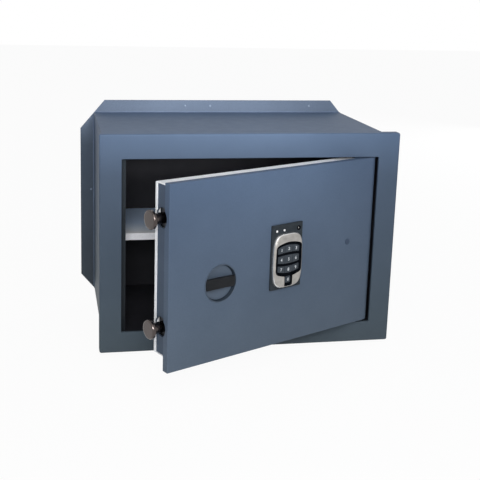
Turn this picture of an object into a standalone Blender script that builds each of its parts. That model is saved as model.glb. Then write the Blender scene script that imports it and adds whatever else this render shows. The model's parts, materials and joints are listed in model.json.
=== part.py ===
"""Wall safe with an electronic keypad, standing ajar with its two bolts thrown.

Metres, +Z up. The origin is the centre of the back plate's rear face, the safe's front faces -Y
and the door hinges on the right. Everything on the door is modelled in the door's own frame,
whose origin is on the hinge axis with the door shut: X towards the hinge edge, Y towards the back.
"""

import math

import bmesh
import bpy
from mathutils import Matrix, Vector

# Clearances
CLEAR = 0.0003  # between two pieces that touch
RUN = 0.0004  # round a piece that slides or turns

# Front frame: a folded sheet with a turned-back lip and a rectangular opening
FRAME_W = 0.420
FRAME_H = 0.308
FRAME_T = 0.004
FRAME_LIP = 0.0125
FRAME_LIP_T = 0.003
FRAME_ROUND = 0.0022
SIDE_FACE = 0.030
TOP_FACE = 0.034
BOTTOM_FACE = 0.030
OPENING_ROUND = 0.0008

# Body box and back plate
BODY_DEPTH = 0.260
BODY_INSET_X = 0.0065
BODY_INSET_Z = 0.0075
WALL_T = 0.003
BACK_T = 0.003
BACK_MARGIN_X = 0.0215
BACK_MARGIN_Z = 0.0197
BACK_CUT_X = 0.0383
BACK_CUT_Z = 0.0451

# Door plate with the round hinge stile, turning on two pins
REST_ANGLE = math.radians(26.2)
HINGE_GAP = 0.002
STILE_R = 0.011
STILE_W = 0.014
DOOR_W = 0.3535
DOOR_TOP_GAP = 0.0010
DOOR_BOTTOM_GAP = 0.0025
PLATE_T = 0.010
PLATE_ROUND = 0.0008
PIN_R = 0.005
PIN_REACH = 0.024
HINGE_BLOCK_W = 0.026
HINGE_BLOCK_D = 0.019
WASHER_R = 0.0065
WASHER_T = 0.0008
BLOCK_GAP = 0.0015

# Lock box behind the door plate and the cover that closes it
DOOR_T = 0.033
COVER_T = 0.0012
BOX_T = 0.002
BOX_EDGE_INSET = 0.0008
BOX_TOP_INSET = 0.0023
BOX_BOTTOM_INSET = 0.0183
BOX_STILE_GAP = 0.001
COVER_LIP = 0.0048
COVER_ROUND = 0.0012
SCREW_R = 0.002
SCREW_HEAD_R = 0.0038
SCREW_HEAD_T = 0.0022
SCREW_LENGTH = 0.010
SCREW_INSET = 0.014
CORNER_TAB = 0.022
CORNER_TAB_T = 0.0016

# Bolts, their guides and the carriage that joins them
BOLT_DEPTH = 0.0185
BOLT_R = 0.007
BOLT_HEAD_R = 0.01225
BOLT_HEAD_T = 0.005
BOLT_OUT = 0.017
BOLT_THROW = 0.0175
BOLT_LENGTH = 0.0515
BOLT_FROM_TOP = 0.0455
BOLT_FROM_BOTTOM = 0.0555
POCKET_PLAY = 0.0007
GUIDE_T = 0.012
GUIDE_HALF = 0.013
GUIDE_FROM_EDGE = 0.006
CARRIAGE_W = 0.012
CARRIAGE_T = 0.004
CARRIAGE_PAST_BOLT = 0.010
RAIL_H = 0.006
RAIL_SIDE = 0.003

# Handle: a flush cup with a grip bar, turning a cam
HANDLE_FROM_EDGE = 0.0796
HANDLE_Z = -0.0182
HANDLE_R = 0.0248
HANDLE_PROUD = 0.0006
CUP_T = 0.0088
CUP_POCKET = 0.0072
CUP_RIM = 0.0018
BAR_HALF = 0.0068
BAR_PROUD = 0.0004
SPINDLE_R = 0.004
CAM_TURN = math.radians(60)
CAM_T = 0.003
CAM_HUB_R = 0.010
CAM_PIN_R = 0.003
CAM_EYE_R = 0.0052
CAM_PIN_REACH = 0.0016
SLOT_PLAY = 0.00045
ARM_BELOW = 0.010
ARM_ABOVE = 0.0097
ARM_PAST_SLOT = 0.0065

# Lock solenoid, whose plunger drops behind the carriage arm
PLUNGER_R = 0.0035
PLUNGER_TRAVEL = 0.0065
PLUNGER_LENGTH = 0.038
PLUNGER_GAP = 0.0015
COLLAR_R = 0.0052
COLLAR_T = 0.0016
SPRING_WIRE_R = 0.00035
SPRING_TURNS = 3.5
SPRING_H = 0.0052
SOLENOID_W = 0.026
SOLENOID_D = 0.0155
SOLENOID_H = 0.030

# Keypad on the door
KEYPAD_FROM_EDGE = 0.1862
KEYPAD_Z = 0.0011
KEYPAD_W = 0.0529
KEYPAD_H = 0.0888
KEYPAD_T = 0.0025
KEYPAD_ROUND = 0.0005
BEZEL_W = 0.050
BEZEL_TOP = 0.0321
BEZEL_BOTTOM = 0.0421
BEZEL_T = 0.0052
BEZEL_POWER = 4.5
BEZEL_EDGE = 0.0022
FIELD_W = 0.0427
FIELD_TOP = 0.0181
FIELD_BOTTOM = 0.0241
FIELD_CORNER = 0.0034
TONGUE_W = 0.0132
TONGUE_BOTTOM = 0.0385
TONGUE_CORNER = 0.0026
KEY_PITCH_X = 0.0134
KEY_PITCH_Z = 0.0142
KEY_TOP_ROW = 0.0109
KEY_W = 0.0126
KEY_H = 0.0112
KEY_ZERO_W = 0.0098
KEY_ZERO_H = 0.0098
KEY_ZERO_Z = -0.0310
KEY_CORNER = 0.0012
KEY_T = 0.0040
KEY_PROUD = 0.0008
KEY_TRAVEL = 0.001
MASK_SUNK = 0.0004
MAT_T = 0.0005
LED_R = 0.0016
LED_PROUD = 0.0005
LED_FROM_TOP = 0.0082
LED_1_FROM_EDGE = 0.0082
LED_2_FROM_EDGE = 0.0209
SOCKET_FROM_EDGE = 0.0460
SOCKET_R = 0.0031
SOCKET_HOLE_R = 0.0016
SOCKET_PROUD = 0.0006
CABLE_R = 0.0022
CABLE_HOLE_R = 0.005

# Pieces inside the lock box
HARD_T = 0.0022
HARD_W = 0.165
HARD_H = 0.124
HARD_FROM_EDGE = 0.070
BOARD_W = 0.050
BOARD_H = 0.074
BOARD_T = 0.0016
BOARD_STAND = 0.0035
BOARD_FOOT_R = 0.0025
BOARD_FOOT_INSET = 0.005
BATTERY_W = 0.0265
BATTERY_H = 0.0485
BATTERY_D = 0.0150
BATTERY_FROM_STILE = 0.030
TRAY_T = 0.0015
TRAY_WALL = 0.008
PLUG_FROM_STILE = 0.042
PLUG_Z = 0.0029
PLUG_R = 0.0042
PLUG_STEM_R = 0.003
PLUG_PROUD = 0.0007

# Shelf, its rails and the door stop inside the body
SHELF_Z = -0.0095
SHELF_T = 0.002
SHELF_LIP = 0.0102
SHELF_FRONT = 0.097
SHELF_BACK_GAP = 0.010
SHELF_SIDE_GAP = 0.0015
RAIL_W = 0.014
RAIL_T = 0.002
STOP_W = 0.0285
STOP_T = 0.003
STOP_GAP = 0.0008

ROUND_STEPS = 32
SMALL_STEPS = 20
CORNER_STEPS = 5

# Worked out from the sizes above: body
FRONT = -BODY_DEPTH
OPEN_X = FRAME_W / 2 - SIDE_FACE
OPEN_TOP = FRAME_H / 2 - TOP_FACE
OPEN_BOTTOM = -FRAME_H / 2 + BOTTOM_FACE
BODY_X = FRAME_W / 2 - BODY_INSET_X
BODY_Z = FRAME_H / 2 - BODY_INSET_Z
IN_X = BODY_X - WALL_T
IN_Z = BODY_Z - WALL_T
WALL_FRONT = FRONT + FRAME_T + CLEAR
WALL_BACK = -BACK_T - CLEAR

# Worked out from the sizes above: door frame
HINGE_X = OPEN_X - HINGE_GAP - STILE_R
HINGE_Y = FRONT + STILE_R
DOOR_FRONT = -STILE_R
DOOR_FREE = STILE_R - DOOR_W
DOOR_TOP = OPEN_TOP - DOOR_TOP_GAP
DOOR_BOTTOM = OPEN_BOTTOM + DOOR_BOTTOM_GAP
PLATE_BACK = DOOR_FRONT + PLATE_T
COVER_BACK = DOOR_FRONT + DOOR_T
COVER_IN = COVER_BACK - COVER_T
COVER_FREE = DOOR_FREE + BOX_EDGE_INSET
COVER_STILE = -STILE_W - BOX_STILE_GAP
COVER_TOP = DOOR_TOP - BOX_TOP_INSET
COVER_BOTTOM = DOOR_BOTTOM + BOX_BOTTOM_INSET
SKIN = COVER_T + CLEAR
BOX_FREE = COVER_FREE + SKIN
BOX_STILE = COVER_STILE - SKIN
BOX_TOP = COVER_TOP - SKIN
BOX_BOTTOM = COVER_BOTTOM + SKIN
BOX_FRONT = PLATE_BACK + CLEAR
BOX_BACK = COVER_IN - CLEAR
BOLT_Y = DOOR_FRONT + BOLT_DEPTH
UPPER_BOLT_Z = DOOR_TOP - BOLT_FROM_TOP
LOWER_BOLT_Z = DOOR_BOTTOM + BOLT_FROM_BOTTOM
BOLT_TIP = DOOR_FREE - BOLT_OUT
BOLT_END = BOLT_TIP + BOLT_LENGTH
CARRIAGE_X = BOLT_END + CLEAR
CARRIAGE_TOP = UPPER_BOLT_Z + CARRIAGE_PAST_BOLT
CARRIAGE_BOTTOM = LOWER_BOLT_Z - CARRIAGE_PAST_BOLT
POCKET_R = BOLT_HEAD_R + POCKET_PLAY
HANDLE_X = DOOR_FREE + HANDLE_FROM_EDGE
CAM_R = BOLT_THROW / (2 * math.sin(CAM_TURN / 2))
PIN_X = HANDLE_X - CAM_R * math.sin(CAM_TURN / 2)
PIN_LOW = HANDLE_Z + CAM_R * math.cos(CAM_TURN / 2)
PIN_HIGH = HANDLE_Z + CAM_R
SLOT_HALF = CAM_PIN_R + SLOT_PLAY
ARM_END = PIN_X + SLOT_HALF + ARM_PAST_SLOT
ARM_TOP = PIN_HIGH + ARM_ABOVE
ARM_BOTTOM = PIN_LOW - ARM_BELOW
CARRIAGE_Y = BOLT_Y - CARRIAGE_T / 2
CAM_Y = BOX_FRONT + HARD_T + CLEAR
PLUNGER_X = ARM_END + RUN * 2 + PLUNGER_R
PLUNGER_TIP = ARM_TOP + PLUNGER_GAP
COLLAR_Z = ARM_TOP + PLUNGER_TRAVEL + 2 * CLEAR
SOLENOID_Z = COLLAR_Z + COLLAR_T + SPRING_H + 2 * CLEAR
KEYPAD_X = DOOR_FREE + KEYPAD_FROM_EDGE
KEYPAD_FREE = KEYPAD_X - KEYPAD_W / 2
KEYPAD_BACK = DOOR_FRONT - CLEAR
KEYPAD_FACE = KEYPAD_BACK - KEYPAD_T
BEZEL_BACK = KEYPAD_FACE - CLEAR
BEZEL_FACE = BEZEL_BACK - BEZEL_T
MASK_FACE = BEZEL_FACE + MASK_SUNK
MAT_FACE = BEZEL_BACK - MAT_T
KEY_FACE = MASK_FACE - KEY_PROUD
LED_Z = KEYPAD_Z + KEYPAD_H / 2 - LED_FROM_TOP
HARD_X = DOOR_FREE + HARD_FROM_EDGE
BOARD_Y = CAM_Y + BOARD_STAND
PLUG_X = -PLUG_FROM_STILE

# Colours as (red, green, blue), roughness and metal
FINISHES = {
    "blue_paint": ((0.055, 0.085, 0.135), 0.45, 0.0),
    "dark_paint": ((0.03, 0.04, 0.055), 0.5, 0.0),
    "white_paint": ((0.85, 0.86, 0.88), 0.4, 0.0),
    "shelf_paint": ((0.55, 0.62, 0.70), 0.45, 0.0),
    "bolt_steel": ((0.55, 0.45, 0.40), 0.25, 1.0),
    "zinc_steel": ((0.62, 0.63, 0.62), 0.35, 1.0),
    "silver": ((0.66, 0.66, 0.63), 0.35, 0.6),
    "black_plastic": ((0.012, 0.013, 0.015), 0.4, 0.0),
    "dark_plastic": ((0.035, 0.04, 0.05), 0.45, 0.0),
    "key_plastic": ((0.045, 0.055, 0.075), 0.4, 0.0),
    "lamp": ((0.9, 0.9, 0.9), 0.2, 0.0),
    "board": ((0.02, 0.16, 0.07), 0.4, 0.0),
    "battery": ((0.06, 0.06, 0.07), 0.35, 0.0),
    "copper_wire": ((0.35, 0.02, 0.02), 0.5, 0.0),
}


def clear_scene():
    for obj in list(bpy.data.objects):
        bpy.data.objects.remove(obj)


def material(name):
    mat = bpy.data.materials.get(name)
    if mat is None:
        colour, rough, metal = FINISHES[name]
        mat = bpy.data.materials.new(name)
        mat.use_nodes = True
        shader = mat.node_tree.nodes["Principled BSDF"]
        shader.inputs["Base Color"].default_value = (*colour, 1)
        shader.inputs["Roughness"].default_value = rough
        shader.inputs["Metallic"].default_value = metal
    return mat


def finish(name, bm, look, parent=None, pivot=None, smooth=True):
    """Turn a bmesh into a named object. A pivot is the object's origin in the door's frame."""
    origin = Vector(pivot or (0, 0, 0))
    shift = parent.location if parent and parent.parent else origin
    bmesh.ops.recalc_face_normals(bm, faces=bm.faces)
    bmesh.ops.translate(bm, verts=bm.verts, vec=-shift)
    mesh = bpy.data.meshes.new(name)
    bm.to_mesh(mesh)
    bm.free()
    if smooth:
        mesh.shade_smooth()
        mesh.set_sharp_from_angle(angle=math.radians(38))
    mesh.materials.append(material(look))
    obj = bpy.data.objects.new(name, mesh)
    bpy.context.scene.collection.objects.link(obj)
    obj.parent = parent
    obj.location = origin
    return obj


def empty(name, location, parent=None, angle=0.0):
    obj = bpy.data.objects.new(name, None)
    bpy.context.scene.collection.objects.link(obj)
    obj.parent = parent
    obj.location = location
    obj.rotation_euler = (0, 0, angle)
    return obj


# Placing a point given as (across, across, along) on each axis
PLACE = {
    "X": lambda a, b, h: (h, a, b),
    "Y": lambda a, b, h: (a, h, b),
    "Z": lambda a, b, h: (a, b, h),
}


def arc(cx, cy, radius, start, end, steps):
    turn = (end - start) / steps
    return [
        (cx + radius * math.cos(start + turn * i), cy + radius * math.sin(start + turn * i))
        for i in range(steps + 1)
    ]


def circle(cx, cy, radius, steps=ROUND_STEPS):
    """An outline that shrinks by the inset that it is called with."""

    def outline(inset=0.0):
        return arc(cx, cy, radius - inset, 0, 2 * math.pi, steps)[:-1]

    return outline


def rounded(x0, x1, y0, y1, corner=0.0, steps=CORNER_STEPS):
    """A rectangle with round corners, as an outline that shrinks by an inset."""

    def outline(inset=0.0):
        r = max(corner - inset, 0.0)
        corners = (
            (x1 - inset - r, y1 - inset - r, 0),
            (x0 + inset + r, y1 - inset - r, 1),
            (x0 + inset + r, y0 + inset + r, 2),
            (x1 - inset - r, y0 + inset + r, 3),
        )
        if corner == 0:
            return [(x, y) for x, y, _ in corners]
        r = max(r, 0.0001)
        points = []
        for x, y, quarter in corners:
            points += arc(x, y, r, quarter * math.pi / 2, (quarter + 1) * math.pi / 2, steps)
        return points

    return outline


def barrel(cx, cy, half_w, half_h, power, steps=72):
    """A rectangle with bowed sides and soft corners, as an outline that shrinks by an inset."""

    def outline(inset=0.0):
        wide, tall = half_w - inset, half_h - inset
        points = []
        for i in range(steps):
            c, s = math.cos(2 * math.pi * i / steps), math.sin(2 * math.pi * i / steps)
            reach = (abs(c / wide) ** power + abs(s / tall) ** power) ** (-1 / power)
            points.append((cx + reach * c, cy + reach * s))
        return points

    return outline


def add_loop(bm, outline, axis, height):
    return [bm.verts.new(PLACE[axis](a, b, height)) for a, b in outline]


def bridge(bm, first, second):
    count = len(first)
    for i in range(count):
        j = (i + 1) % count
        bm.faces.new((first[i], first[j], second[j], second[i]))


def slab(outer, holes, levels, axis):
    """A plate across an axis. Levels are (inset, height) pairs, and holes widen by each inset."""
    bm = bmesh.new()
    shapes = [(outer, 1)] + [(hole, -1) for hole in holes]
    ends = ([], [])
    for outline, sign in shapes:
        rows = [add_loop(bm, outline(sign * inset), axis, height) for inset, height in levels]
        for first, second in zip(rows, rows[1:]):
            bridge(bm, first, second)
        ends[0].append(rows[0])
        ends[1].append(rows[-1])
    for loops in ends:
        if not holes:
            bm.faces.new(loops[0])
            continue
        edges = [bm.edges.get((loop[i - 1], loop[i])) for loop in loops for i in range(len(loop))]
        bmesh.ops.triangle_fill(bm, use_beauty=True, edges=edges)
    return bm


def ring(loops):
    """A closed ring skinned through loops of three-dimensional points, the last joined to the first."""
    bm = bmesh.new()
    rows = [[bm.verts.new(point) for point in loop] for loop in loops]
    for first, second in zip(rows, rows[1:] + rows[:1]):
        bridge(bm, first, second)
    return bm


def place_loop(outline, axis, height):
    return [PLACE[axis](a, b, height) for a, b in outline]


def box(low, high, soft=0.0):
    """A block between two corners, with its edges cut back by soft."""
    bm = bmesh.new()
    bmesh.ops.create_cube(bm, size=1)
    size = Vector(high) - Vector(low)
    middle = (Vector(high) + Vector(low)) / 2
    place = Matrix.Translation(middle) @ Matrix.Diagonal((*size, 1))
    bmesh.ops.transform(bm, matrix=place, verts=bm.verts)
    if soft:
        bmesh.ops.bevel(bm, geom=bm.edges, offset=soft, segments=2, affect="EDGES", profile=0.6)
    return bm


def turned(profile, axis, cx, cy, steps=ROUND_STEPS, hollow=False):
    """A turned piece from (height, radius) pairs. A hollow one's profile comes back to its start."""
    loops = [place_loop(circle(cx, cy, radius, steps)(), axis, height) for height, radius in profile]
    if hollow:
        return ring(loops)
    bm = bmesh.new()
    rows = [[bm.verts.new(point) for point in loop] for loop in loops]
    for first, second in zip(rows, rows[1:]):
        bridge(bm, first, second)
    bm.faces.new(rows[0])
    bm.faces.new(rows[-1])
    return bm


def washer(axis, cx, cy, start, end, inner, outer, soft=0.0002, steps=ROUND_STEPS):
    profile = [
        (start, inner),
        (start, outer - soft),
        (start + soft, outer),
        (end - soft, outer),
        (end, outer - soft),
        (end, inner),
    ]
    return turned(profile, axis, cx, cy, steps, hollow=True)


def cutter(target, bm, operation="DIFFERENCE"):
    """A hidden tool that cuts its target, or is joined to it."""
    name = f"tool_{target.name}_{len(target.modifiers)}"
    tool = finish(name, bm, "zinc_steel", target.parent, smooth=False)
    tool.hide_render = True
    tool.display_type = "WIRE"
    cut = target.modifiers.new(f"cut_{len(target.modifiers)}", "BOOLEAN")
    cut.operation = operation
    cut.solver = "EXACT"
    cut.object = tool
    return tool


def drill(target, axis, cx, cy, radius, start, end, steps=ROUND_STEPS):
    return cutter(target, turned([(start, radius), (end, radius)], axis, cx, cy, steps))


def build_frame():
    half_w, half_h = FRAME_W / 2, FRAME_H / 2
    outer = rounded(-half_w, half_w, -half_h, half_h, FRAME_ROUND * 1.3)
    inside = rounded(
        -half_w + FRAME_LIP_T,
        half_w - FRAME_LIP_T,
        -half_h + FRAME_LIP_T,
        half_h - FRAME_LIP_T,
        OPENING_ROUND,
    )
    opening = rounded(-OPEN_X, OPEN_X, OPEN_BOTTOM, OPEN_TOP, OPENING_ROUND)
    loops = []
    for i in range(4):
        angle = math.pi / 2 * i / 3
        inset = FRAME_ROUND * (1 - math.sin(angle))
        depth = FRAME_ROUND * (1 - math.cos(angle))
        loops.append(place_loop(outer(inset), "Y", FRONT + depth))
    loops.append(place_loop(outer(), "Y", FRONT + FRAME_LIP))
    loops.append(place_loop(inside(), "Y", FRONT + FRAME_LIP))
    loops.append(place_loop(inside(), "Y", FRONT + FRAME_T))
    loops.append(place_loop(opening(), "Y", FRONT + FRAME_T))
    loops.append(place_loop(opening(), "Y", FRONT + OPENING_ROUND))
    loops.append(place_loop(opening(-OPENING_ROUND / 2), "Y", FRONT))
    finish("front_frame", ring(loops), "blue_paint")


def build_walls():
    """Four plates welded edge to edge, the top and bottom ones across the whole width."""
    for name, low, high in (("top_wall", IN_Z, BODY_Z), ("bottom_wall", -BODY_Z, -IN_Z)):
        finish(name, box((-BODY_X, WALL_FRONT, low), (BODY_X, WALL_BACK, high)), "blue_paint")
    reach = IN_Z - CLEAR
    for name, low, high in (("left_wall", -BODY_X, -IN_X), ("right_wall", IN_X, BODY_X)):
        finish(name, box((low, WALL_FRONT, -reach), (high, WALL_BACK, reach)), "blue_paint")


def cut_corner_outline(half_x, half_z, cut_x, cut_z):
    def outline(inset=0.0):
        x, z = half_x - inset, half_z - inset
        points = []
        for sx, sz in ((1, 1), (-1, 1), (-1, -1), (1, -1)):
            pair = [(sx * x, sz * (z - cut_z)), (sx * (x - cut_x), sz * z)]
            points += pair if sx == sz else pair[::-1]
        return points

    return outline


def build_back_plate():
    outline = cut_corner_outline(BODY_X + BACK_MARGIN_X, BODY_Z + BACK_MARGIN_Z, BACK_CUT_X, BACK_CUT_Z)
    finish("back_plate", slab(outline, [], [(0, -BACK_T), (0, 0)], "Y"), "blue_paint")


def build_shelf():
    """A folded tray sheet on two angle rails welded to the side walls."""
    front = FRONT + SHELF_FRONT
    back = -BACK_T - SHELF_BACK_GAP
    half = IN_X - SHELF_SIDE_GAP
    profile = (
        (front, SHELF_Z - SHELF_LIP),
        (front, SHELF_Z),
        (back, SHELF_Z),
        (back, SHELF_Z - SHELF_T),
        (front + SHELF_T, SHELF_Z - SHELF_T),
        (front + SHELF_T, SHELF_Z - SHELF_LIP),
    )
    finish("shelf", slab(lambda inset=0.0: profile, [], [(0, -half), (0, half)], "X"), "shelf_paint")
    top = SHELF_Z - SHELF_T - CLEAR
    start = front + SHELF_T + CLEAR
    for name, side in (("left_shelf_rail", -1), ("right_shelf_rail", 1)):
        wall = side * (IN_X - CLEAR)
        angle = (
            (wall, top),
            (wall - side * RAIL_W, top),
            (wall - side * RAIL_W, top - RAIL_T),
            (wall - side * RAIL_T, top - RAIL_T),
            (wall - side * RAIL_T, top - RAIL_W),
            (wall, top - RAIL_W),
        )
        rail = slab(lambda inset=0.0, line=angle: line, [], [(0, start), (0, back)], "Y")
        finish(name, rail, "blue_paint")


def build_stop():
    """The strip behind the frame's left side that the shut door rests on."""
    near = HINGE_Y + COVER_BACK + STOP_GAP
    left = -IN_X + CLEAR
    reach = IN_Z - 2 * CLEAR
    strip = box((left, near, -reach), (left + STOP_W, near + STOP_T, reach))
    finish("door_stop_strip", strip, "dark_paint")


def build_hinge():
    """A block, a pin and a thrust washer at each end of the hinge stile."""
    near = FRONT + FRAME_T + CLEAR
    for name, side, edge, wall in (
        ("upper", 1, DOOR_TOP, OPEN_TOP),
        ("lower", -1, DOOR_BOTTOM, OPEN_BOTTOM),
    ):
        face = wall + side * BLOCK_GAP
        far = side * (IN_Z - CLEAR)
        low, high = sorted((face, far))
        right = min(HINGE_X + HINGE_BLOCK_W / 2, IN_X - CLEAR)
        block = finish(
            f"{name}_hinge_block",
            box((HINGE_X - HINGE_BLOCK_W / 2, near, low), (right, near + HINGE_BLOCK_D, high), 0.0005),
            "dark_paint",
        )
        drill(block, "Z", HINGE_X, HINGE_Y, PIN_R + CLEAR, low - 0.001, high + 0.001)
        tip = edge - side * PIN_REACH
        profile = sorted(((far, PIN_R), (tip + side * 0.001, PIN_R), (tip, PIN_R - 0.001)))
        finish(f"{name}_hinge_pin", turned(profile, "Z", HINGE_X, HINGE_Y), "zinc_steel")
        near_z, far_z = sorted((edge + side * CLEAR, face - side * CLEAR))
        finish(
            f"{name}_thrust_washer",
            washer("Z", HINGE_X, HINGE_Y, near_z, far_z, PIN_R + CLEAR, WASHER_R),
            "zinc_steel",
        )


def plate_outline():
    """The door plate and its hinge stile seen from above, shrinking by an inset."""

    def outline(inset=0.0):
        r = PLATE_ROUND
        left = DOOR_FREE + inset
        front = DOOR_FRONT + inset
        back = PLATE_BACK - inset
        points = arc(left + r, front + r, r, math.pi, 1.5 * math.pi, 3)
        points += arc(0, 0, STILE_R - inset, -math.pi / 2, math.pi / 2, 20)
        points += [(-STILE_W + inset, STILE_R - inset), (-STILE_W + inset, back), (left, back)]
        return points

    return outline


def build_door_plate(door):
    levels = [
        (PLATE_ROUND, DOOR_BOTTOM),
        (PLATE_ROUND * 0.3, DOOR_BOTTOM + PLATE_ROUND * 0.3),
        (0, DOOR_BOTTOM + PLATE_ROUND),
        (0, DOOR_TOP - PLATE_ROUND),
        (PLATE_ROUND * 0.3, DOOR_TOP - PLATE_ROUND * 0.3),
        (PLATE_ROUND, DOOR_TOP),
    ]
    plate = finish("door_plate", slab(plate_outline(), [], levels, "Z"), "blue_paint", door)
    past = 0.001
    reach = PIN_REACH + 2 * past
    drill(plate, "Z", 0, 0, PIN_R + CLEAR, DOOR_TOP - reach, DOOR_TOP + past)
    drill(plate, "Z", 0, 0, PIN_R + CLEAR, DOOR_BOTTOM - past, DOOR_BOTTOM + reach)
    floor = DOOR_FRONT - HANDLE_PROUD + CUP_T + RUN
    drill(plate, "Y", HANDLE_X, HANDLE_Z, HANDLE_R + RUN, DOOR_FRONT - past, floor, 2 * ROUND_STEPS)
    drill(plate, "Y", HANDLE_X, HANDLE_Z, SPINDLE_R + RUN, floor - past, PLATE_BACK + past)
    drill(plate, "Y", KEYPAD_X, KEYPAD_Z, CABLE_HOLE_R, DOOR_FRONT - past, PLATE_BACK + past)
    drill(plate, "Y", PLUG_X, PLUG_Z, PLUG_STEM_R + CLEAR, DOOR_FRONT - past, PLATE_BACK + past)
    cut_pockets(plate)
    stem = PLATE_BACK - DOOR_FRONT
    profile = [
        (DOOR_FRONT - CLEAR - PLUG_PROUD, PLUG_R - 0.0004),
        (DOOR_FRONT - CLEAR - PLUG_PROUD + 0.0004, PLUG_R),
        (DOOR_FRONT - CLEAR, PLUG_R),
        (DOOR_FRONT - CLEAR, PLUG_STEM_R),
        (DOOR_FRONT + stem * 0.9, PLUG_STEM_R),
    ]
    finish("blanking_plug", turned(profile, "Y", PLUG_X, PLUG_Z, SMALL_STEPS), "dark_paint", door)


def cut_pockets(target):
    """Round pockets in the free edge, which the bolt heads draw back into."""
    end = DOOR_FREE + GUIDE_FROM_EDGE
    for z in (UPPER_BOLT_Z, LOWER_BOLT_Z):
        drill(target, "X", BOLT_Y, z, POCKET_R, DOOR_FREE - 0.001, end, 2 * ROUND_STEPS)


def build_lock_box(door):
    """A folded box open at the front and the back, with tabs across its back corners."""
    outer = rounded(BOX_FREE, BOX_STILE, BOX_BOTTOM, BOX_TOP)
    inner = rounded(BOX_FREE + BOX_T, BOX_STILE - BOX_T, BOX_BOTTOM + BOX_T, BOX_TOP - BOX_T)
    loops = [
        place_loop(outer(), "Y", BOX_FRONT),
        place_loop(outer(), "Y", BOX_BACK),
        place_loop(inner(), "Y", BOX_BACK),
        place_loop(inner(), "Y", BOX_FRONT),
    ]
    lock_box = finish("lock_box", ring(loops), "dark_paint", door)
    cut_pockets(lock_box)
    lap = BOX_T / 2
    for x0, x1, z0, z1 in tab_places():
        tab = box((x0 - lap, BOX_BACK - CORNER_TAB_T, z0 - lap), (x1 + lap, BOX_BACK - 0.0001, z1 + lap))
        cutter(lock_box, tab, "UNION")
    for x, z in screw_places():
        drill(lock_box, "Y", x, z, SCREW_R + CLEAR, BOX_BACK - 0.004, BOX_BACK + 0.001, SMALL_STEPS)


def tab_places():
    """The four inner corners of the box, as (x0, x1, z0, z1)."""
    across = ((BOX_FREE + BOX_T, BOX_FREE + CORNER_TAB), (BOX_STILE - CORNER_TAB, BOX_STILE - BOX_T))
    up = ((BOX_BOTTOM + BOX_T, BOX_BOTTOM + CORNER_TAB), (BOX_TOP - CORNER_TAB, BOX_TOP - BOX_T))
    return [(*x, *z) for x in across for z in up]


def screw_places():
    return [
        (x, z)
        for x in (BOX_FREE + SCREW_INSET, BOX_STILE - SCREW_INSET)
        for z in (BOX_BOTTOM + SCREW_INSET, BOX_TOP - SCREW_INSET)
    ]


def build_cover(door):
    """The white cover: a tray whose top and bottom flanges reach the plate, and whose sides are lips."""
    outer = rounded(COVER_FREE, COVER_STILE, COVER_BOTTOM, COVER_TOP, COVER_ROUND, 2)
    bend = COVER_ROUND * 0.3
    levels = [(0, BOX_FRONT), (0, COVER_BACK - COVER_ROUND)]
    levels += [(bend, COVER_BACK - bend), (COVER_ROUND, COVER_BACK)]
    cover = finish("rear_cover", slab(outer, [], levels, "Y"), "white_paint", door)
    past = 0.001
    inside = ((COVER_FREE + COVER_T, BOX_FRONT - past, COVER_BOTTOM + COVER_T),)
    inside += ((COVER_STILE - COVER_T, COVER_IN, COVER_TOP - COVER_T),)
    cutter(cover, box(*inside))
    lip = COVER_BACK - COVER_LIP
    low = (COVER_FREE - past, BOX_FRONT - past, COVER_BOTTOM + COVER_T)
    high = (COVER_STILE + past, lip, COVER_TOP - COVER_T)
    cutter(cover, box(low, high))
    cut_pockets(cover)
    for x, z in screw_places():
        drill(cover, "Y", x, z, SCREW_R + CLEAR, COVER_IN - past, COVER_BACK + past, SMALL_STEPS)


def build_cover_screws(door):
    head = COVER_BACK + CLEAR
    for i, (x, z) in enumerate(screw_places()):
        profile = [
            (head + SCREW_HEAD_T, SCREW_HEAD_R * 0.7),
            (head + SCREW_HEAD_T * 0.6, SCREW_HEAD_R * 0.95),
            (head, SCREW_HEAD_R),
            (head, SCREW_R),
            (head - SCREW_LENGTH, SCREW_R),
        ]
        solid = turned(profile, "Y", x, z, SMALL_STEPS)
        screw = finish(f"cover_screw_{i + 1}", solid, "zinc_steel", door)
        slot = 0.0005
        for wide, tall in ((SCREW_HEAD_R * 0.5, slot), (slot, SCREW_HEAD_R * 0.5)):
            low = (x - wide, head + SCREW_HEAD_T * 0.5, z - tall)
            cutter(screw, box(low, (x + wide, head + SCREW_HEAD_T + slot, z + tall)))


def build_bolts(door, bolts):
    inner = BOLT_TIP + BOLT_HEAD_T
    soft = 0.0009
    profile = [
        (BOLT_TIP, BOLT_HEAD_R - 2 * soft),
        (BOLT_TIP + soft * 0.4, BOLT_HEAD_R - soft * 0.6),
        (BOLT_TIP + soft * 1.4, BOLT_HEAD_R),
        (inner - soft, BOLT_HEAD_R),
        (inner, BOLT_HEAD_R - soft),
        (inner, BOLT_R),
        (BOLT_END, BOLT_R),
    ]
    for name, z in (("upper", UPPER_BOLT_Z), ("lower", LOWER_BOLT_Z)):
        finish(f"{name}_bolt", turned(profile, "X", BOLT_Y, z, 2 * ROUND_STEPS), "bolt_steel", bolts)
        start = DOOR_FREE + GUIDE_FROM_EDGE + CLEAR
        outline = rounded(BOX_FRONT, BOLT_Y + GUIDE_HALF - 0.003, z - GUIDE_HALF, z + GUIDE_HALF)
        bore = circle(BOLT_Y, z, BOLT_R + RUN)
        guide = slab(outline, [bore], [(0, start), (0, start + GUIDE_T)], "X")
        finish(f"{name}_bolt_guide", guide, "zinc_steel", door)


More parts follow.
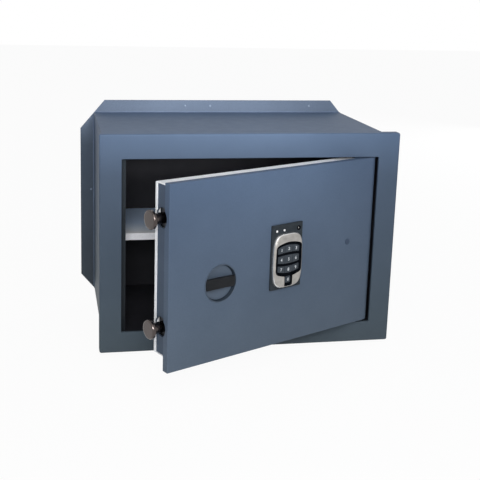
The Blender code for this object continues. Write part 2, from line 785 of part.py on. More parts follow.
def build_carriage(door, bolts):
    """A T-shaped plate: the upright carries both bolts, and the slotted arm is moved by the cam pin."""
    left, right = CARRIAGE_X, CARRIAGE_X + CARRIAGE_W
    outline = (
        (left, CARRIAGE_BOTTOM),
        (right, CARRIAGE_BOTTOM),
        (right, ARM_BOTTOM),
        (ARM_END, ARM_BOTTOM),
        (ARM_END, ARM_TOP),
        (right, ARM_TOP),
        (right, CARRIAGE_TOP),
        (left, CARRIAGE_TOP),
    )
    slot = rounded(
        PIN_X - SLOT_HALF,
        PIN_X + SLOT_HALF,
        PIN_LOW - SLOT_HALF,
        PIN_HIGH + SLOT_HALF,
        SLOT_HALF - 0.0001,
    )
    levels = [(0, CARRIAGE_Y), (0, CARRIAGE_Y + CARRIAGE_T)]
    carriage = slab(lambda inset=0.0: outline, [slot], levels, "Y")
    finish("bolt_carriage", carriage, "zinc_steel", bolts)
    rail_left = left - RAIL_SIDE
    rail_right = right + BOLT_THROW + RAIL_SIDE
    for name, edge, side in (("upper", CARRIAGE_TOP, 1), ("lower", CARRIAGE_BOTTOM, -1)):
        low, high = sorted((edge + side * RUN, edge + side * RAIL_H))
        back = CARRIAGE_Y + CARRIAGE_T + RUN
        rail = box((rail_left, BOX_FRONT, low), (rail_right, back, high), RUN)
        finish(f"{name}_carriage_rail", rail, "zinc_steel", door)


def build_handle(handle):
    face = DOOR_FRONT - HANDLE_PROUD
    soft = 0.0004
    profile = [
        (face + CUP_T, HANDLE_R - soft),
        (face + CUP_T - soft, HANDLE_R),
        (face + soft, HANDLE_R),
        (face, HANDLE_R - soft),
    ]
    disc = turned(profile, "Y", HANDLE_X, HANDLE_Z, 2 * ROUND_STEPS)
    cup = finish("handle_cup", disc, "dark_paint", handle)
    pocket = [(face - 0.001, HANDLE_R - CUP_RIM), (face + CUP_POCKET, HANDLE_R - CUP_RIM - 0.001)]
    cutter(cup, turned(pocket, "Y", HANDLE_X, HANDLE_Z, 2 * ROUND_STEPS))
    floor = (face + CUP_POCKET - 0.001, face + CUP_T + 0.001)
    drill(cup, "Y", HANDLE_X, HANDLE_Z, SPINDLE_R + CLEAR, *floor)
    build_grip(handle, face)
    end = CAM_Y + CAM_T
    spindle = [(face + CUP_POCKET + CLEAR, SPINDLE_R), (end, SPINDLE_R)]
    finish("handle_spindle", turned(spindle, "Y", HANDLE_X, HANDLE_Z), "zinc_steel", handle)
    build_cam(handle)


def build_grip(handle, face):
    """The bar across the cup, with round ends that follow the rim."""
    reach = HANDLE_R - CUP_RIM - 0.001 - CLEAR
    half_angle = math.asin(BAR_HALF / reach)

    def outline(inset=0.0):
        r = reach - inset
        a = half_angle - inset / reach
        points = arc(HANDLE_X, HANDLE_Z, r, -a, a, 8)
        return points + arc(HANDLE_X, HANDLE_Z, r, math.pi - a, math.pi + a, 8)

    top = face - BAR_PROUD
    soft = 0.0007
    levels = [(soft, top), (soft * 0.3, top + soft * 0.3), (0, top + soft)]
    levels.append((0, face + CUP_POCKET - CLEAR))
    finish("grip_bar", slab(outline, [], levels, "Y"), "black_plastic", handle)


def build_cam(handle):
    """A lever of two tangent discs, bored for the spindle, with a pin in its small end."""
    pin_angle = math.pi / 2 + CAM_TURN / 2
    spread = math.acos((CAM_HUB_R - CAM_EYE_R) / CAM_R)

    def outline(inset=0.0):
        start, end = pin_angle + spread, pin_angle + 2 * math.pi - spread
        hub = arc(HANDLE_X, HANDLE_Z, CAM_HUB_R, start, end, 20)
        return hub + arc(PIN_X, PIN_LOW, CAM_EYE_R, pin_angle - spread, pin_angle + spread, 12)

    bore = circle(HANDLE_X, HANDLE_Z, SPINDLE_R + CLEAR)
    lever = slab(outline, [bore], [(0, CAM_Y), (0, CAM_Y + CAM_T)], "Y")
    cam = finish("lock_cam", lever, "zinc_steel", handle)
    end = CARRIAGE_Y + CARRIAGE_T + CAM_PIN_REACH
    pin = [(CAM_Y + CAM_T / 2, CAM_PIN_R), (end, CAM_PIN_R)]
    cutter(cam, turned(pin, "Y", PIN_X, PIN_LOW), "UNION")


def build_solenoid(door, plunger):
    half = SOLENOID_W / 2
    outline = rounded(PLUNGER_X - half, PLUNGER_X + half, CAM_Y, CAM_Y + SOLENOID_D)
    bore = circle(PLUNGER_X, BOLT_Y, PLUNGER_R + RUN)
    body = slab(outline, [bore], [(0, SOLENOID_Z), (0, SOLENOID_Z + SOLENOID_H)], "Z")
    finish("lock_solenoid", body, "black_plastic", door)
    collar = COLLAR_Z + COLLAR_T
    profile = [
        (PLUNGER_TIP, PLUNGER_R - 0.0005),
        (PLUNGER_TIP + 0.0005, PLUNGER_R),
        (COLLAR_Z, PLUNGER_R),
        (COLLAR_Z, COLLAR_R),
        (collar, COLLAR_R),
        (collar, PLUNGER_R),
        (PLUNGER_TIP + PLUNGER_LENGTH, PLUNGER_R),
    ]
    finish("lock_plunger", turned(profile, "Z", PLUNGER_X, BOLT_Y), "zinc_steel", plunger)
    build_spring(door, collar + CLEAR, SOLENOID_Z - CLEAR)


def build_spring(door, low, high):
    """A coil round the plunger between its collar and the solenoid, an unbroken tube."""
    radius = PLUNGER_R + RUN + 2 * SPRING_WIRE_R
    steps = round(SPRING_TURNS * 12)
    rise = (high - low - 2 * SPRING_WIRE_R) / steps
    curve = bpy.data.curves.new("plunger_spring", "CURVE")
    curve.dimensions = "3D"
    curve.bevel_depth = SPRING_WIRE_R
    curve.bevel_resolution = 1
    curve.use_fill_caps = True
    line = curve.splines.new("POLY")
    line.points.add(steps)
    for i, point in enumerate(line.points):
        angle = 2 * math.pi * i / 12
        x = PLUNGER_X + radius * math.cos(angle)
        y = BOLT_Y + radius * math.sin(angle)
        point.co = (x, y, low + SPRING_WIRE_R + rise * i, 1)
    curve.materials.append(material("zinc_steel"))
    obj = bpy.data.objects.new("plunger_spring", curve)
    bpy.context.scene.collection.objects.link(obj)
    obj.parent = door


def field_outline(grow=0.0):
    """The key field with the tongue below it that holds the lowest key."""
    half = FIELD_W / 2 + grow
    top, bottom = KEYPAD_Z + FIELD_TOP + grow, KEYPAD_Z - FIELD_BOTTOM - grow
    low = KEYPAD_Z - TONGUE_BOTTOM - grow
    r, t = FIELD_CORNER + grow, TONGUE_CORNER + grow
    neck = TONGUE_W / 2 + grow
    quarter = math.pi / 2
    points = arc(KEYPAD_X + half - r, top - r, r, 0, quarter, CORNER_STEPS)
    points += arc(KEYPAD_X - half + r, top - r, r, quarter, 2 * quarter, CORNER_STEPS)
    points += arc(KEYPAD_X - half + r, bottom + r, r, 2 * quarter, 3 * quarter, CORNER_STEPS)
    points += [(KEYPAD_X - neck, bottom)]
    points += arc(KEYPAD_X - neck + t, low + t, t, 2 * quarter, 3 * quarter, CORNER_STEPS)
    points += arc(KEYPAD_X + neck - t, low + t, t, 3 * quarter, 4 * quarter, CORNER_STEPS)
    points += [(KEYPAD_X + neck, bottom)]
    points += arc(KEYPAD_X + half - r, bottom + r, r, 3 * quarter, 4 * quarter, CORNER_STEPS)
    return lambda inset=0.0: points


def build_keypad(door):
    outer = rounded(
        KEYPAD_FREE,
        KEYPAD_FREE + KEYPAD_W,
        KEYPAD_Z - KEYPAD_H / 2,
        KEYPAD_Z + KEYPAD_H / 2,
        2 * KEYPAD_ROUND,
        2,
    )
    lamps = [KEYPAD_FREE + LED_1_FROM_EDGE, KEYPAD_FREE + LED_2_FROM_EDGE]
    holes = [circle(x, LED_Z, LED_R + CLEAR, SMALL_STEPS) for x in lamps]
    socket_x = KEYPAD_FREE + SOCKET_FROM_EDGE
    holes.append(circle(socket_x, LED_Z, SOCKET_R + CLEAR, SMALL_STEPS))
    holes.append(circle(KEYPAD_X, KEYPAD_Z, CABLE_HOLE_R, SMALL_STEPS))
    levels = [(KEYPAD_ROUND, KEYPAD_FACE), (0, KEYPAD_FACE + KEYPAD_ROUND), (0, KEYPAD_BACK)]
    plate = finish("keypad_plate", slab(outer, [], levels, "Y"), "black_plastic", door)
    for hole in holes:
        cutter(plate, slab(hole, [], [(0, KEYPAD_FACE - 0.001), (0, KEYPAD_BACK + 0.001)], "Y"))
    for i, x in enumerate(lamps):
        face = KEYPAD_FACE - LED_PROUD
        profile = [(face, LED_R * 0.5), (face + LED_R * 0.3, LED_R * 0.9), (face + LED_R * 0.6, LED_R)]
        profile.append((KEYPAD_BACK, LED_R))
        finish(f"status_lamp_{i + 1}", turned(profile, "Y", x, LED_Z, SMALL_STEPS), "lamp", door)
    face = KEYPAD_FACE - SOCKET_PROUD
    finish(
        "contact_socket",
        washer("Y", socket_x, LED_Z, face, KEYPAD_BACK, SOCKET_HOLE_R, SOCKET_R, steps=SMALL_STEPS),
        "black_plastic",
        door,
    )
    build_bezel(door)
    build_mask(door)


def build_bezel(door):
    middle = KEYPAD_Z + (BEZEL_TOP - BEZEL_BOTTOM) / 2
    outer = barrel(KEYPAD_X, middle, BEZEL_W / 2, (BEZEL_TOP + BEZEL_BOTTOM) / 2, BEZEL_POWER)
    hole = field_outline(CLEAR)
    soft = BEZEL_EDGE
    levels = [(0, BEZEL_BACK)]
    for i in range(5):
        angle = math.pi / 2 * i / 4
        levels.append((soft * (1 - math.cos(angle)), BEZEL_FACE + soft * (1 - math.sin(angle))))
    finish("keypad_bezel", slab(outer, [hole], levels, "Y"), "silver", door)


def key_rows():
    return [KEYPAD_Z + KEY_TOP_ROW - row * KEY_PITCH_Z for row in range(3)]


def build_mask(door):
    """The black key field, with a slot for each row of keys and one for the lowest key."""
    half = KEY_PITCH_X + KEY_W / 2 + RUN
    slots = []
    for z in key_rows():
        rise = KEY_H / 2 + RUN
        slots.append(rounded(KEYPAD_X - half, KEYPAD_X + half, z - rise, z + rise, KEY_CORNER + RUN))
    wide, tall = KEY_ZERO_W / 2 + RUN, KEY_ZERO_H / 2 + RUN
    zero = KEYPAD_Z + KEY_ZERO_Z
    slots.append(rounded(KEYPAD_X - wide, KEYPAD_X + wide, zero - tall, zero + tall, KEY_CORNER + RUN))
    back = MAT_FACE - CLEAR
    mask = slab(field_outline(), slots, [(0, MASK_FACE), (0, back)], "Y")
    finish("key_mask", mask, "black_plastic", door)
    mat = slab(field_outline(), [], [(0, BEZEL_BACK), (0, MAT_FACE)], "Y")
    finish("key_mat", mat, "dark_plastic", door)


def build_keys(door):
    places = {0: (KEYPAD_X, KEYPAD_Z + KEY_ZERO_Z, KEY_ZERO_W, KEY_ZERO_H)}
    for row, z in enumerate(key_rows()):
        for column in range(3):
            places[3 * row + column + 1] = (KEYPAD_X + (column - 1) * KEY_PITCH_X, z, KEY_W, KEY_H)
    soft = 0.0005
    levels = [
        (soft, KEY_FACE),
        (soft * 0.3, KEY_FACE + soft * 0.3),
        (0, KEY_FACE + soft),
        (0, KEY_FACE + KEY_T),
    ]
    for digit, (x, z, wide, tall) in sorted(places.items()):
        outline = rounded(x - wide / 2, x + wide / 2, z - tall / 2, z + tall / 2, KEY_CORNER, 3)
        finish(f"key_{digit}", slab(outline, [], levels, "Y"), "key_plastic", door, (x, KEY_FACE, z))


def build_inner_pieces(door):
    """What the lock box holds besides the bolt work: hard plate, board, battery and cable."""
    hard = rounded(HARD_X, HARD_X + HARD_W, KEYPAD_Z - HARD_H / 2, KEYPAD_Z + HARD_H / 2)
    holes = [circle(HANDLE_X, HANDLE_Z, SPINDLE_R + RUN), circle(KEYPAD_X, KEYPAD_Z, CABLE_HOLE_R)]
    levels = [(0, BOX_FRONT), (0, BOX_FRONT + HARD_T)]
    finish("hard_plate", slab(hard, holes, levels, "Y"), "zinc_steel", door)
    x0, x1 = KEYPAD_X - BOARD_W / 2, KEYPAD_X + BOARD_W / 2
    z0, z1 = KEYPAD_Z - BOARD_H / 2, KEYPAD_Z + BOARD_H / 2
    board = finish("circuit_board", box((x0, BOARD_Y, z0), (x1, BOARD_Y + BOARD_T, z1)), "board", door)
    inset = BOARD_FOOT_INSET
    for x in (x0 + inset, x1 - inset):
        for z in (z0 + inset, z1 - inset):
            foot = [(CAM_Y, BOARD_FOOT_R), (BOARD_Y + BOARD_T / 2, BOARD_FOOT_R)]
            cutter(board, turned(foot, "Y", x, z, 12), "UNION")
    ends = [(MAT_FACE + MAT_T + CLEAR, CABLE_R), (BOARD_Y - CLEAR, CABLE_R)]
    finish("keypad_cable", turned(ends, "Y", KEYPAD_X, KEYPAD_Z, 12), "copper_wire", door)
    build_battery(door)


def build_battery(door):
    x1 = -BATTERY_FROM_STILE
    x0 = x1 - BATTERY_W
    z0, z1 = KEYPAD_Z - BATTERY_H / 2, KEYPAD_Z + BATTERY_H / 2
    rim = TRAY_T + CLEAR
    tray_low = (x0 - rim, BOX_FRONT, z0 - rim)
    tray_high = (x1 + rim, BOX_FRONT + TRAY_T + TRAY_WALL, z1 + rim)
    tray = finish("battery_tray", box(tray_low, tray_high), "black_plastic", door)
    floor = BOX_FRONT + TRAY_T
    inside = box((x0 - CLEAR, floor, z0 - CLEAR), (x1 + CLEAR, tray_high[1] + 0.001, z1 + CLEAR))
    cutter(tray, inside)
    low = (x0, floor + CLEAR, z0)
    finish("battery", box(low, (x1, floor + CLEAR + BATTERY_D, z1), 0.0012), "battery", door)


def build_safe():
    clear_scene()
    build_frame()
    build_walls()
    build_back_plate()
    build_shelf()
    build_stop()
    build_hinge()
    door = empty("door_axis", (HINGE_X, HINGE_Y, 0), angle=REST_ANGLE)
    handle = empty("handle_axis", (HANDLE_X, DOOR_FRONT, HANDLE_Z), door)
    bolts = empty("bolt_axis", (BOLT_END, BOLT_Y, 0), door)
    plunger = empty("plunger_axis", (PLUNGER_X, BOLT_Y, PLUNGER_TIP), door)
    build_door_plate(door)
    build_lock_box(door)
    build_cover(door)
    build_cover_screws(door)
    build_bolts(door, bolts)
    build_carriage(door, bolts)
    build_handle(handle)
    build_solenoid(door, plunger)
    build_keypad(door)
    build_keys(door)
    build_inner_pieces(door)


build_safe()
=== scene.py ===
"""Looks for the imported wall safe: camera, lamps, floor, materials and the finer pieces."""

import json
import math

import bmesh
import bpy
from mathutils import Matrix, Vector


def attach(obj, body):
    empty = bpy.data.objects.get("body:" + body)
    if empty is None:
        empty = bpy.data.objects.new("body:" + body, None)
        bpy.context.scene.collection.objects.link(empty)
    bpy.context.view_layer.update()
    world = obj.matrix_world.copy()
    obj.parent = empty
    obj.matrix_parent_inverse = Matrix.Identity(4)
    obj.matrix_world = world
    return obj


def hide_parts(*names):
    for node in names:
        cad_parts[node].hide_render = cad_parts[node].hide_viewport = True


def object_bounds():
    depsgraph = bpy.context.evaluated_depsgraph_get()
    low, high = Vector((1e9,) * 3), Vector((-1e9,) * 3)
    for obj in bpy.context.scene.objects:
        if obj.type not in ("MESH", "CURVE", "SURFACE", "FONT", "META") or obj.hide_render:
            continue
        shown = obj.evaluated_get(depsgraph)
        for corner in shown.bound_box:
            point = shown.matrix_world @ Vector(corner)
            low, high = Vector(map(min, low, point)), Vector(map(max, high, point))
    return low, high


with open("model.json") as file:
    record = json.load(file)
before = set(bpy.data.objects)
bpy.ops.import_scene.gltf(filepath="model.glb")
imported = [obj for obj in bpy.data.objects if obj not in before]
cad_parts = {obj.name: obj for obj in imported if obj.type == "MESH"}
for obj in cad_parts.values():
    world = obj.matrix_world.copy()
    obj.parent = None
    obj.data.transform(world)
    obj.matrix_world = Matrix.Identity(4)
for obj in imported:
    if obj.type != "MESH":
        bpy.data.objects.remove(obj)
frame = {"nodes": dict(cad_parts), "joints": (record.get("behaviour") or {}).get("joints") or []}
cad_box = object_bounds()
NODES = frame["nodes"]
JOINTS = {joint["name"]: joint for joint in frame["joints"]}

# The door's own frame: origin on the hinge axis, X to the hinge edge, Y to the back
HINGE = Vector(JOINTS["door_hinge"]["pos_m"])
INWARD = Vector(JOINTS["key_1_press"]["axis"])
DOOR_ANGLE = math.atan2(-INWARD.x, INWARD.y)
DOOR = Matrix.Translation(HINGE) @ Matrix.Rotation(DOOR_ANGLE, 4, "Z")

# The gap that neighbouring pieces keep
CLEAR = 0.0003

# The body's inside, painted nearly black as painted shade
INSIDE_HALF_X, INSIDE_HALF_Z = 0.2008, 0.1438
INSIDE_FRONT, INSIDE_BACK = -0.2565, -0.0015

# The outside's paint runs from its bottom colour to its top colour over 0.31 m, as painted light and
# shade, and passes its middle colour at this share of the height
PAINTED_LIGHT_PER_METRE = 3.2
PAINTED_LIGHT_MIDDLE = 0.8

# The shelf's painted shade, darker and bluer, grows from its lip (0) to 67 mm behind it (1)
SHELF_FADE, SHELF_SHIFT = 14.9, 2.49

# The depth of the grain on white enamel and plastic, and on polished, printed and wrapped surfaces
FINE_GRAIN = 0.00003
POLISHED = 0.00001

# ---------------------------------------------------------------- materials


class Look:
    """A node material built up from procedural layers in object space."""

    def __init__(self, name, rough=0.45, metal=0.0, coat=0.0, **sockets):
        self.mat = bpy.data.materials.new(name)
        self.mat.use_nodes = True
        self.tree = self.mat.node_tree
        self.shader = self.tree.nodes["Principled BSDF"]
        self.shader.inputs["Roughness"].default_value = rough
        self.shader.inputs["Metallic"].default_value = metal
        self.shader.inputs["Coat Weight"].default_value = coat
        for key, value in sockets.items():
            self.shader.inputs[key.replace("_", " ")].default_value = value
        self.coords = self.add("ShaderNodeTexCoord").outputs["Object"]

    def add(self, kind, **settings):
        node = self.tree.nodes.new(kind)
        for key, value in settings.items():
            setattr(node, key, value)
        return node

    def link(self, source, target):
        self.tree.links.new(source, target)

    def feed(self, value, socket):
        """Links a socket to another, or sets its number."""
        if isinstance(value, bpy.types.NodeSocket):
            self.link(value, socket)
        else:
            socket.default_value = value

    def noise(self, scale, detail=3.0, rough=0.55, stretch=None):
        node = self.add("ShaderNodeTexNoise")
        node.inputs["Scale"].default_value = scale
        node.inputs["Detail"].default_value = detail
        node.inputs["Roughness"].default_value = rough
        if stretch:
            mapping = self.add("ShaderNodeMapping")
            mapping.inputs["Scale"].default_value = stretch
            self.link(self.coords, mapping.inputs["Vector"])
            self.link(mapping.outputs["Vector"], node.inputs["Vector"])
        else:
            self.link(self.coords, node.inputs["Vector"])
        return node.outputs["Fac"]

    def ramp(self, fac, stops):
        node = self.add("ShaderNodeValToRGB")
        ramp = node.color_ramp
        while len(ramp.elements) < len(stops):
            ramp.elements.new(0.5)
        for element, (place, colour) in zip(ramp.elements, stops):
            element.position = place
            element.color = (*colour, 1)
        self.link(fac, node.inputs["Fac"])
        return node.outputs["Color"]

    def mix(self, fac, a, b, blend="MIX"):
        node = self.add("ShaderNodeMix", data_type="RGBA", blend_type=blend)
        self.feed(fac, node.inputs[0])
        self.link(a, node.inputs[6])
        self.link(b, node.inputs[7])
        return node.outputs[2]

    def multiply(self, a, b):
        """One colour times another."""
        return self.mix(1.0, a, b, "MULTIPLY")

    def math(self, operation, a, b=0.0, c=0.0, clamp=False):
        node = self.add("ShaderNodeMath", operation=operation, use_clamp=clamp)
        for socket, value in zip(node.inputs, (a, b, c)):
            self.feed(value, socket)
        return node.outputs[0]

    def axis(self, name):
        node = self.add("ShaderNodeSeparateXYZ")
        self.link(self.coords, node.inputs[0])
        return node.outputs[name]

    def colour(self, source):
        self.link(source, self.shader.inputs["Base Color"])

    def painted(self):
        """The socket that gives the colour so far."""
        return self.shader.inputs["Base Color"].links[0].from_socket

    def roughness(self, fac, low, high):
        node = self.add("ShaderNodeMapRange")
        node.inputs["To Min"].default_value = low
        node.inputs["To Max"].default_value = high
        self.link(fac, node.inputs["Value"])
        self.link(node.outputs["Result"], self.shader.inputs["Roughness"])

    def bump(self, height, distance, strength=1.0):
        node = self.add("ShaderNodeBump")
        node.inputs["Strength"].default_value = strength
        node.inputs["Distance"].default_value = distance
        self.link(height, node.inputs["Height"])
        previous = self.shader.inputs["Normal"]
        if previous.is_linked:
            self.link(previous.links[0].from_socket, node.inputs["Normal"])
        self.link(node.outputs["Normal"], previous)


def powder_coat(name, top, bottom, rough=(0.46, 0.6), grain=0.00006, gloss=0.14, middle=None):
    """Textured paint: painted light and shade from bottom to top, cloudy patches and a fine orange
    peel.
    """
    look = Look(name, Specular_IOR_Level=gloss)
    # Painted light and shade: the colour changes from the bottom colour to the top colour with
    # height
    height = look.math("MULTIPLY_ADD", look.axis("Z"), PAINTED_LIGHT_PER_METRE, 0.5, clamp=True)
    between = [(PAINTED_LIGHT_MIDDLE, middle)] if middle else []
    painted_light_by_height = look.ramp(height, [(0.0, bottom), *between, (1.0, top)])
    patches = look.ramp(look.noise(9, 4), [(0.3, (0.9, 0.91, 0.92)), (0.7, (1.05, 1.05, 1.05))])
    specks = look.ramp(look.noise(1500, 2), [(0.35, (0.9, 0.9, 0.9)), (0.65, (1.08, 1.08, 1.08))])
    look.colour(look.multiply(look.multiply(painted_light_by_height, patches), specks))
    look.roughness(look.noise(60, 3), *rough)
    look.bump(look.noise(1100, 3, 0.6), grain, 0.55)
    look.bump(look.noise(45, 2), 0.0002, 0.12)
    return look


def body_paint(name, top, bottom, middle):
    """The safe's blue-grey outside, and painted shade that makes its inside nearly black, told apart
    by place.
    """
    look = powder_coat(name, top, bottom, middle=middle)
    tests = (
        look.math("LESS_THAN", look.math("ABSOLUTE", look.axis("X")), INSIDE_HALF_X),
        look.math("LESS_THAN", look.math("ABSOLUTE", look.axis("Z")), INSIDE_HALF_Z),
        look.math("GREATER_THAN", look.axis("Y"), INSIDE_FRONT),
        look.math("LESS_THAN", look.axis("Y"), INSIDE_BACK),
    )
    inside = tests[0]
    for test in tests[1:]:
        inside = look.math("MULTIPLY", inside, test)
    # Painted shade: the inside is coloured nearly black
    dark = look.ramp(look.noise(14, 4), [(0.3, (0.021, 0.021, 0.026)), (0.7, (0.030, 0.030, 0.036))])
    look.colour(look.mix(inside, look.painted(), dark))
    return look


def metal(name, colour, rough, lines, scale, coat=0.0):
    """Plated or machined steel with fine lines and slightly cloudy plating."""
    look = Look(name, metal=1.0, coat=coat)
    cloud = look.noise(40, 4)
    dark = tuple(c * 0.8 for c in colour)
    look.colour(look.ramp(cloud, [(0.3, dark), (0.7, colour)]))
    streaks = look.noise(scale, 3, 0.6, stretch=lines)
    look.roughness(streaks, rough - 0.06, rough + 0.08)
    look.bump(streaks, 0.00002, 0.4)
    return look


def plastic(name, colour, rough, gloss=0.2, depth=FINE_GRAIN, coat=0.0, metallic=0.0):
    """Moulded plastic or rubber: faint clouding, a fine grain and uneven gloss."""
    look = Look(name, coat=coat, metal=metallic, Specular_IOR_Level=gloss)
    light = tuple(min(c * 1.18 + 0.002, 1) for c in colour)
    dark = tuple(c * 0.86 for c in colour)
    look.colour(look.ramp(look.noise(120, 4), [(0.3, dark), (0.7, light)]))
    look.roughness(look.noise(500, 3), rough - 0.06, rough + 0.06)
    look.bump(look.noise(1600, 2), depth, 0.5)
    return look


def shelf_look():
    """White enamel at the shelf's lip, with painted shade that makes it darker and bluer towards its
    back.
    """
    look = powder_coat("shelf_paint", (0.9, 0.9, 0.93), (0.9, 0.9, 0.93), grain=FINE_GRAIN)
    depth = look.math("MULTIPLY_ADD", look.axis("Y"), SHELF_FADE, SHELF_SHIFT, clamp=True)
    # Painted shade: darker and bluer towards the back
    painted_shade_tints = [(0.05, (1.0, 1.0, 1.0)), (0.35, (0.84, 0.92, 1.0)), (1.0, (0.62, 0.78, 1.0))]
    look.colour(look.multiply(look.painted(), look.ramp(depth, painted_shade_tints)))
    return look


def board_look():
    """Green lacquer with a grid of paler tracks."""
    look = Look("circuit_board_lacquer", rough=0.35, coat=0.3)
    grid = look.add("ShaderNodeTexBrick")
    look.link(look.coords, grid.inputs["Vector"])
    grid.inputs["Scale"].default_value = 120
    grid.inputs["Color1"].default_value = (0.012, 0.12, 0.05, 1)
    grid.inputs["Color2"].default_value = (0.015, 0.15, 0.06, 1)
    grid.inputs["Mortar"].default_value = (0.04, 0.22, 0.10, 1)
    grid.inputs["Mortar Size"].default_value = 0.03
    look.colour(grid.outputs["Color"])
    look.bump(look.noise(300, 2), 0.00004, 0.4)
    return look


# Paints, with their colours at the top, at the bottom and, where there is one, in between, as
# painted light and shade
# The body and frame: lighter at the top as painted light, darker in the middle and greyer at the
# bottom as painted shade
PAINT = body_paint("safe_paint", (0.096, 0.142, 0.226), (0.070, 0.092, 0.110), (0.069, 0.098, 0.147))
# The back plate: lighter at its top as painted light, and grey at its bottom as painted shade
BACK_PAINT = body_paint(
    "back_plate_paint", (0.142, 0.184, 0.258), (0.066, 0.079, 0.095), (0.077, 0.102, 0.141)
)
# The door: bluer at the top and greyer at the bottom, as painted light and shade
DOOR_PAINT = powder_coat("door_paint", (0.075, 0.113, 0.186), (0.101, 0.131, 0.170))
# The lock box: the door's blue a shade darker, as painted shade on its dim side
LOCK_BOX_PAINTED_SHADE = powder_coat("lock_box_painted_shade", (0.066, 0.092, 0.140), (0.062, 0.085, 0.120))
# The door stop strip and hinge blocks in the gap: painted shade, darker towards the bottom
GAP_PAINTED_SHADE = powder_coat(
    "dark_paint", (0.062, 0.088, 0.112), (0.022, 0.026, 0.031), middle=(0.030, 0.038, 0.047)
)
PLUG_PAINT = powder_coat("plug_paint", (0.050, 0.072, 0.115), (0.050, 0.072, 0.115))
DISH_PAINT = powder_coat("dish_paint", (0.078, 0.106, 0.148), (0.078, 0.106, 0.148), gloss=0.35)
# The cup's groove and wall: painted dark as painted shade in the recess
GROOVE_PAINTED_SHADE = powder_coat("groove_painted_shade", (0.015, 0.022, 0.032), (0.015, 0.022, 0.032))
CUP_WALL_PAINTED_SHADE = powder_coat("cup_wall_painted_shade", (0.032, 0.045, 0.064), (0.032, 0.045, 0.064))
WHITE_PAINT = powder_coat(
    "white_paint", (0.93, 0.94, 0.96), (0.90, 0.91, 0.93), grain=FINE_GRAIN, gloss=0.4
)
SHELF_PAINT = shelf_look()
SATIN = {"rough": (0.3, 0.42), "grain": 0.0001}
# The plug welds: much lighter than the body's paint, as a painted highlight
PLUG_WELD_PAINTED_HIGHLIGHT = powder_coat("plug_weld_paint", (0.26, 0.32, 0.42), (0.20, 0.25, 0.33), **SATIN)
# The weld: lighter than the body's paint, as a painted highlight
WELD = powder_coat("weld_painted_highlight", (0.135, 0.180, 0.270), (0.115, 0.150, 0.200), **SATIN)

# The bolts: a dark base colour as a painted reflection of a dark room
BOLT_METAL = metal("bolt_plating", (0.082, 0.066, 0.062), 0.22, (1, 60, 60), 90, coat=0.35)
# The bolt guides: dark, as painted shade round the bolts' holes
GUIDE_STEEL_PAINTED_SHADE = metal("guide_steel_painted_shade", (0.075, 0.077, 0.085), 0.45, (1, 20, 20), 90)
ZINC = metal("zinc_plating", (0.40, 0.40, 0.39), 0.34, (30, 4, 4), 120)

SILVER = plastic("silver_coating", (0.37, 0.355, 0.335), 0.36, gloss=0.4, metallic=0.5)
# The bezel's outer edge: a lighter, glossier silver as a painted highlight
EDGE_PAINTED_HIGHLIGHT = plastic("bezel_edge_painted_highlight", (0.70, 0.70, 0.69), 0.2, gloss=0.5, depth=POLISHED, metallic=0.85)
PLATE_BLACK = plastic("keypad_plate_plastic", (0.022, 0.028, 0.034), 0.45, gloss=0.12)
MASK_BLACK = plastic("key_mask_plastic", (0.003, 0.004, 0.006), 0.7, gloss=0.0)
GRIP_BLACK = plastic("grip_plastic", (0.009, 0.010, 0.012), 0.45, gloss=0.14)
COIL_BLACK = plastic("coil_housing_plastic", (0.02, 0.02, 0.022), 0.5)
KEY_SLATE = plastic("key_rubber", (0.038, 0.047, 0.058), 0.5)
KEY_INK = plastic("key_ink", (0.62, 0.65, 0.68), 0.5, depth=POLISHED)
MAT_RUBBER = plastic("mat_rubber", (0.02, 0.02, 0.022), 0.65)
LAMP = plastic("lamp_lens", (0.90, 0.91, 0.92), 0.12, gloss=0.5, depth=POLISHED, coat=0.6)
BATTERY = plastic("battery_wrap", (0.05, 0.052, 0.06), 0.3, gloss=0.4, depth=POLISHED, coat=0.3)
CABLE = plastic("cable_sleeve", (0.22, 0.02, 0.02), 0.5)
BOARD = board_look()

NODE_LOOKS = {
    BACK_PAINT: "back_plate",
    PAINT: "front_frame top_wall bottom_wall left_wall right_wall left_shelf_rail right_shelf_rail",
    DOOR_PAINT: "door_plate",
    LOCK_BOX_PAINTED_SHADE: "lock_box",
    GAP_PAINTED_SHADE: "door_stop_strip upper_hinge_block lower_hinge_block",
    PLUG_PAINT: "blanking_plug",
    DISH_PAINT: "handle_cup",
    WHITE_PAINT: "rear_cover",
    SHELF_PAINT: "shelf",
    BOLT_METAL: "upper_bolt lower_bolt",
    GUIDE_STEEL_PAINTED_SHADE: "upper_bolt_guide lower_bolt_guide",
    ZINC: "upper_hinge_pin lower_hinge_pin upper_thrust_washer lower_thrust_washer "
    "cover_screw_1 cover_screw_2 cover_screw_3 cover_screw_4 hard_plate "
    "bolt_carriage upper_carriage_rail lower_carriage_rail handle_spindle lock_cam "
    "lock_plunger plunger_spring",
    SILVER: "keypad_bezel",
    PLATE_BLACK: "keypad_plate contact_socket",
    MASK_BLACK: "key_mask",
    GRIP_BLACK: "grip_bar",
    COIL_BLACK: "lock_solenoid battery_tray",
    KEY_SLATE: " ".join(f"key_{digit}" for digit in range(10)),
    MAT_RUBBER: "key_mat",
    LAMP: "status_lamp_1 status_lamp_2",
    BOARD: "circuit_board",
    BATTERY: "battery",
    CABLE: "keypad_cable",
}


def dress_nodes():
    """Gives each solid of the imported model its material."""
    for look, names in NODE_LOOKS.items():
        for name in names.split():
            mesh = NODES[name].data
            mesh.materials.clear()
            mesh.materials.append(look.mat)
            for polygon in mesh.polygons:
                polygon.material_index = 0


# ---------------------------------------------------------------- meshes


def new_object(name, data):
    obj = bpy.data.objects.new(name, data)
    bpy.context.scene.collection.objects.link(obj)
    return obj


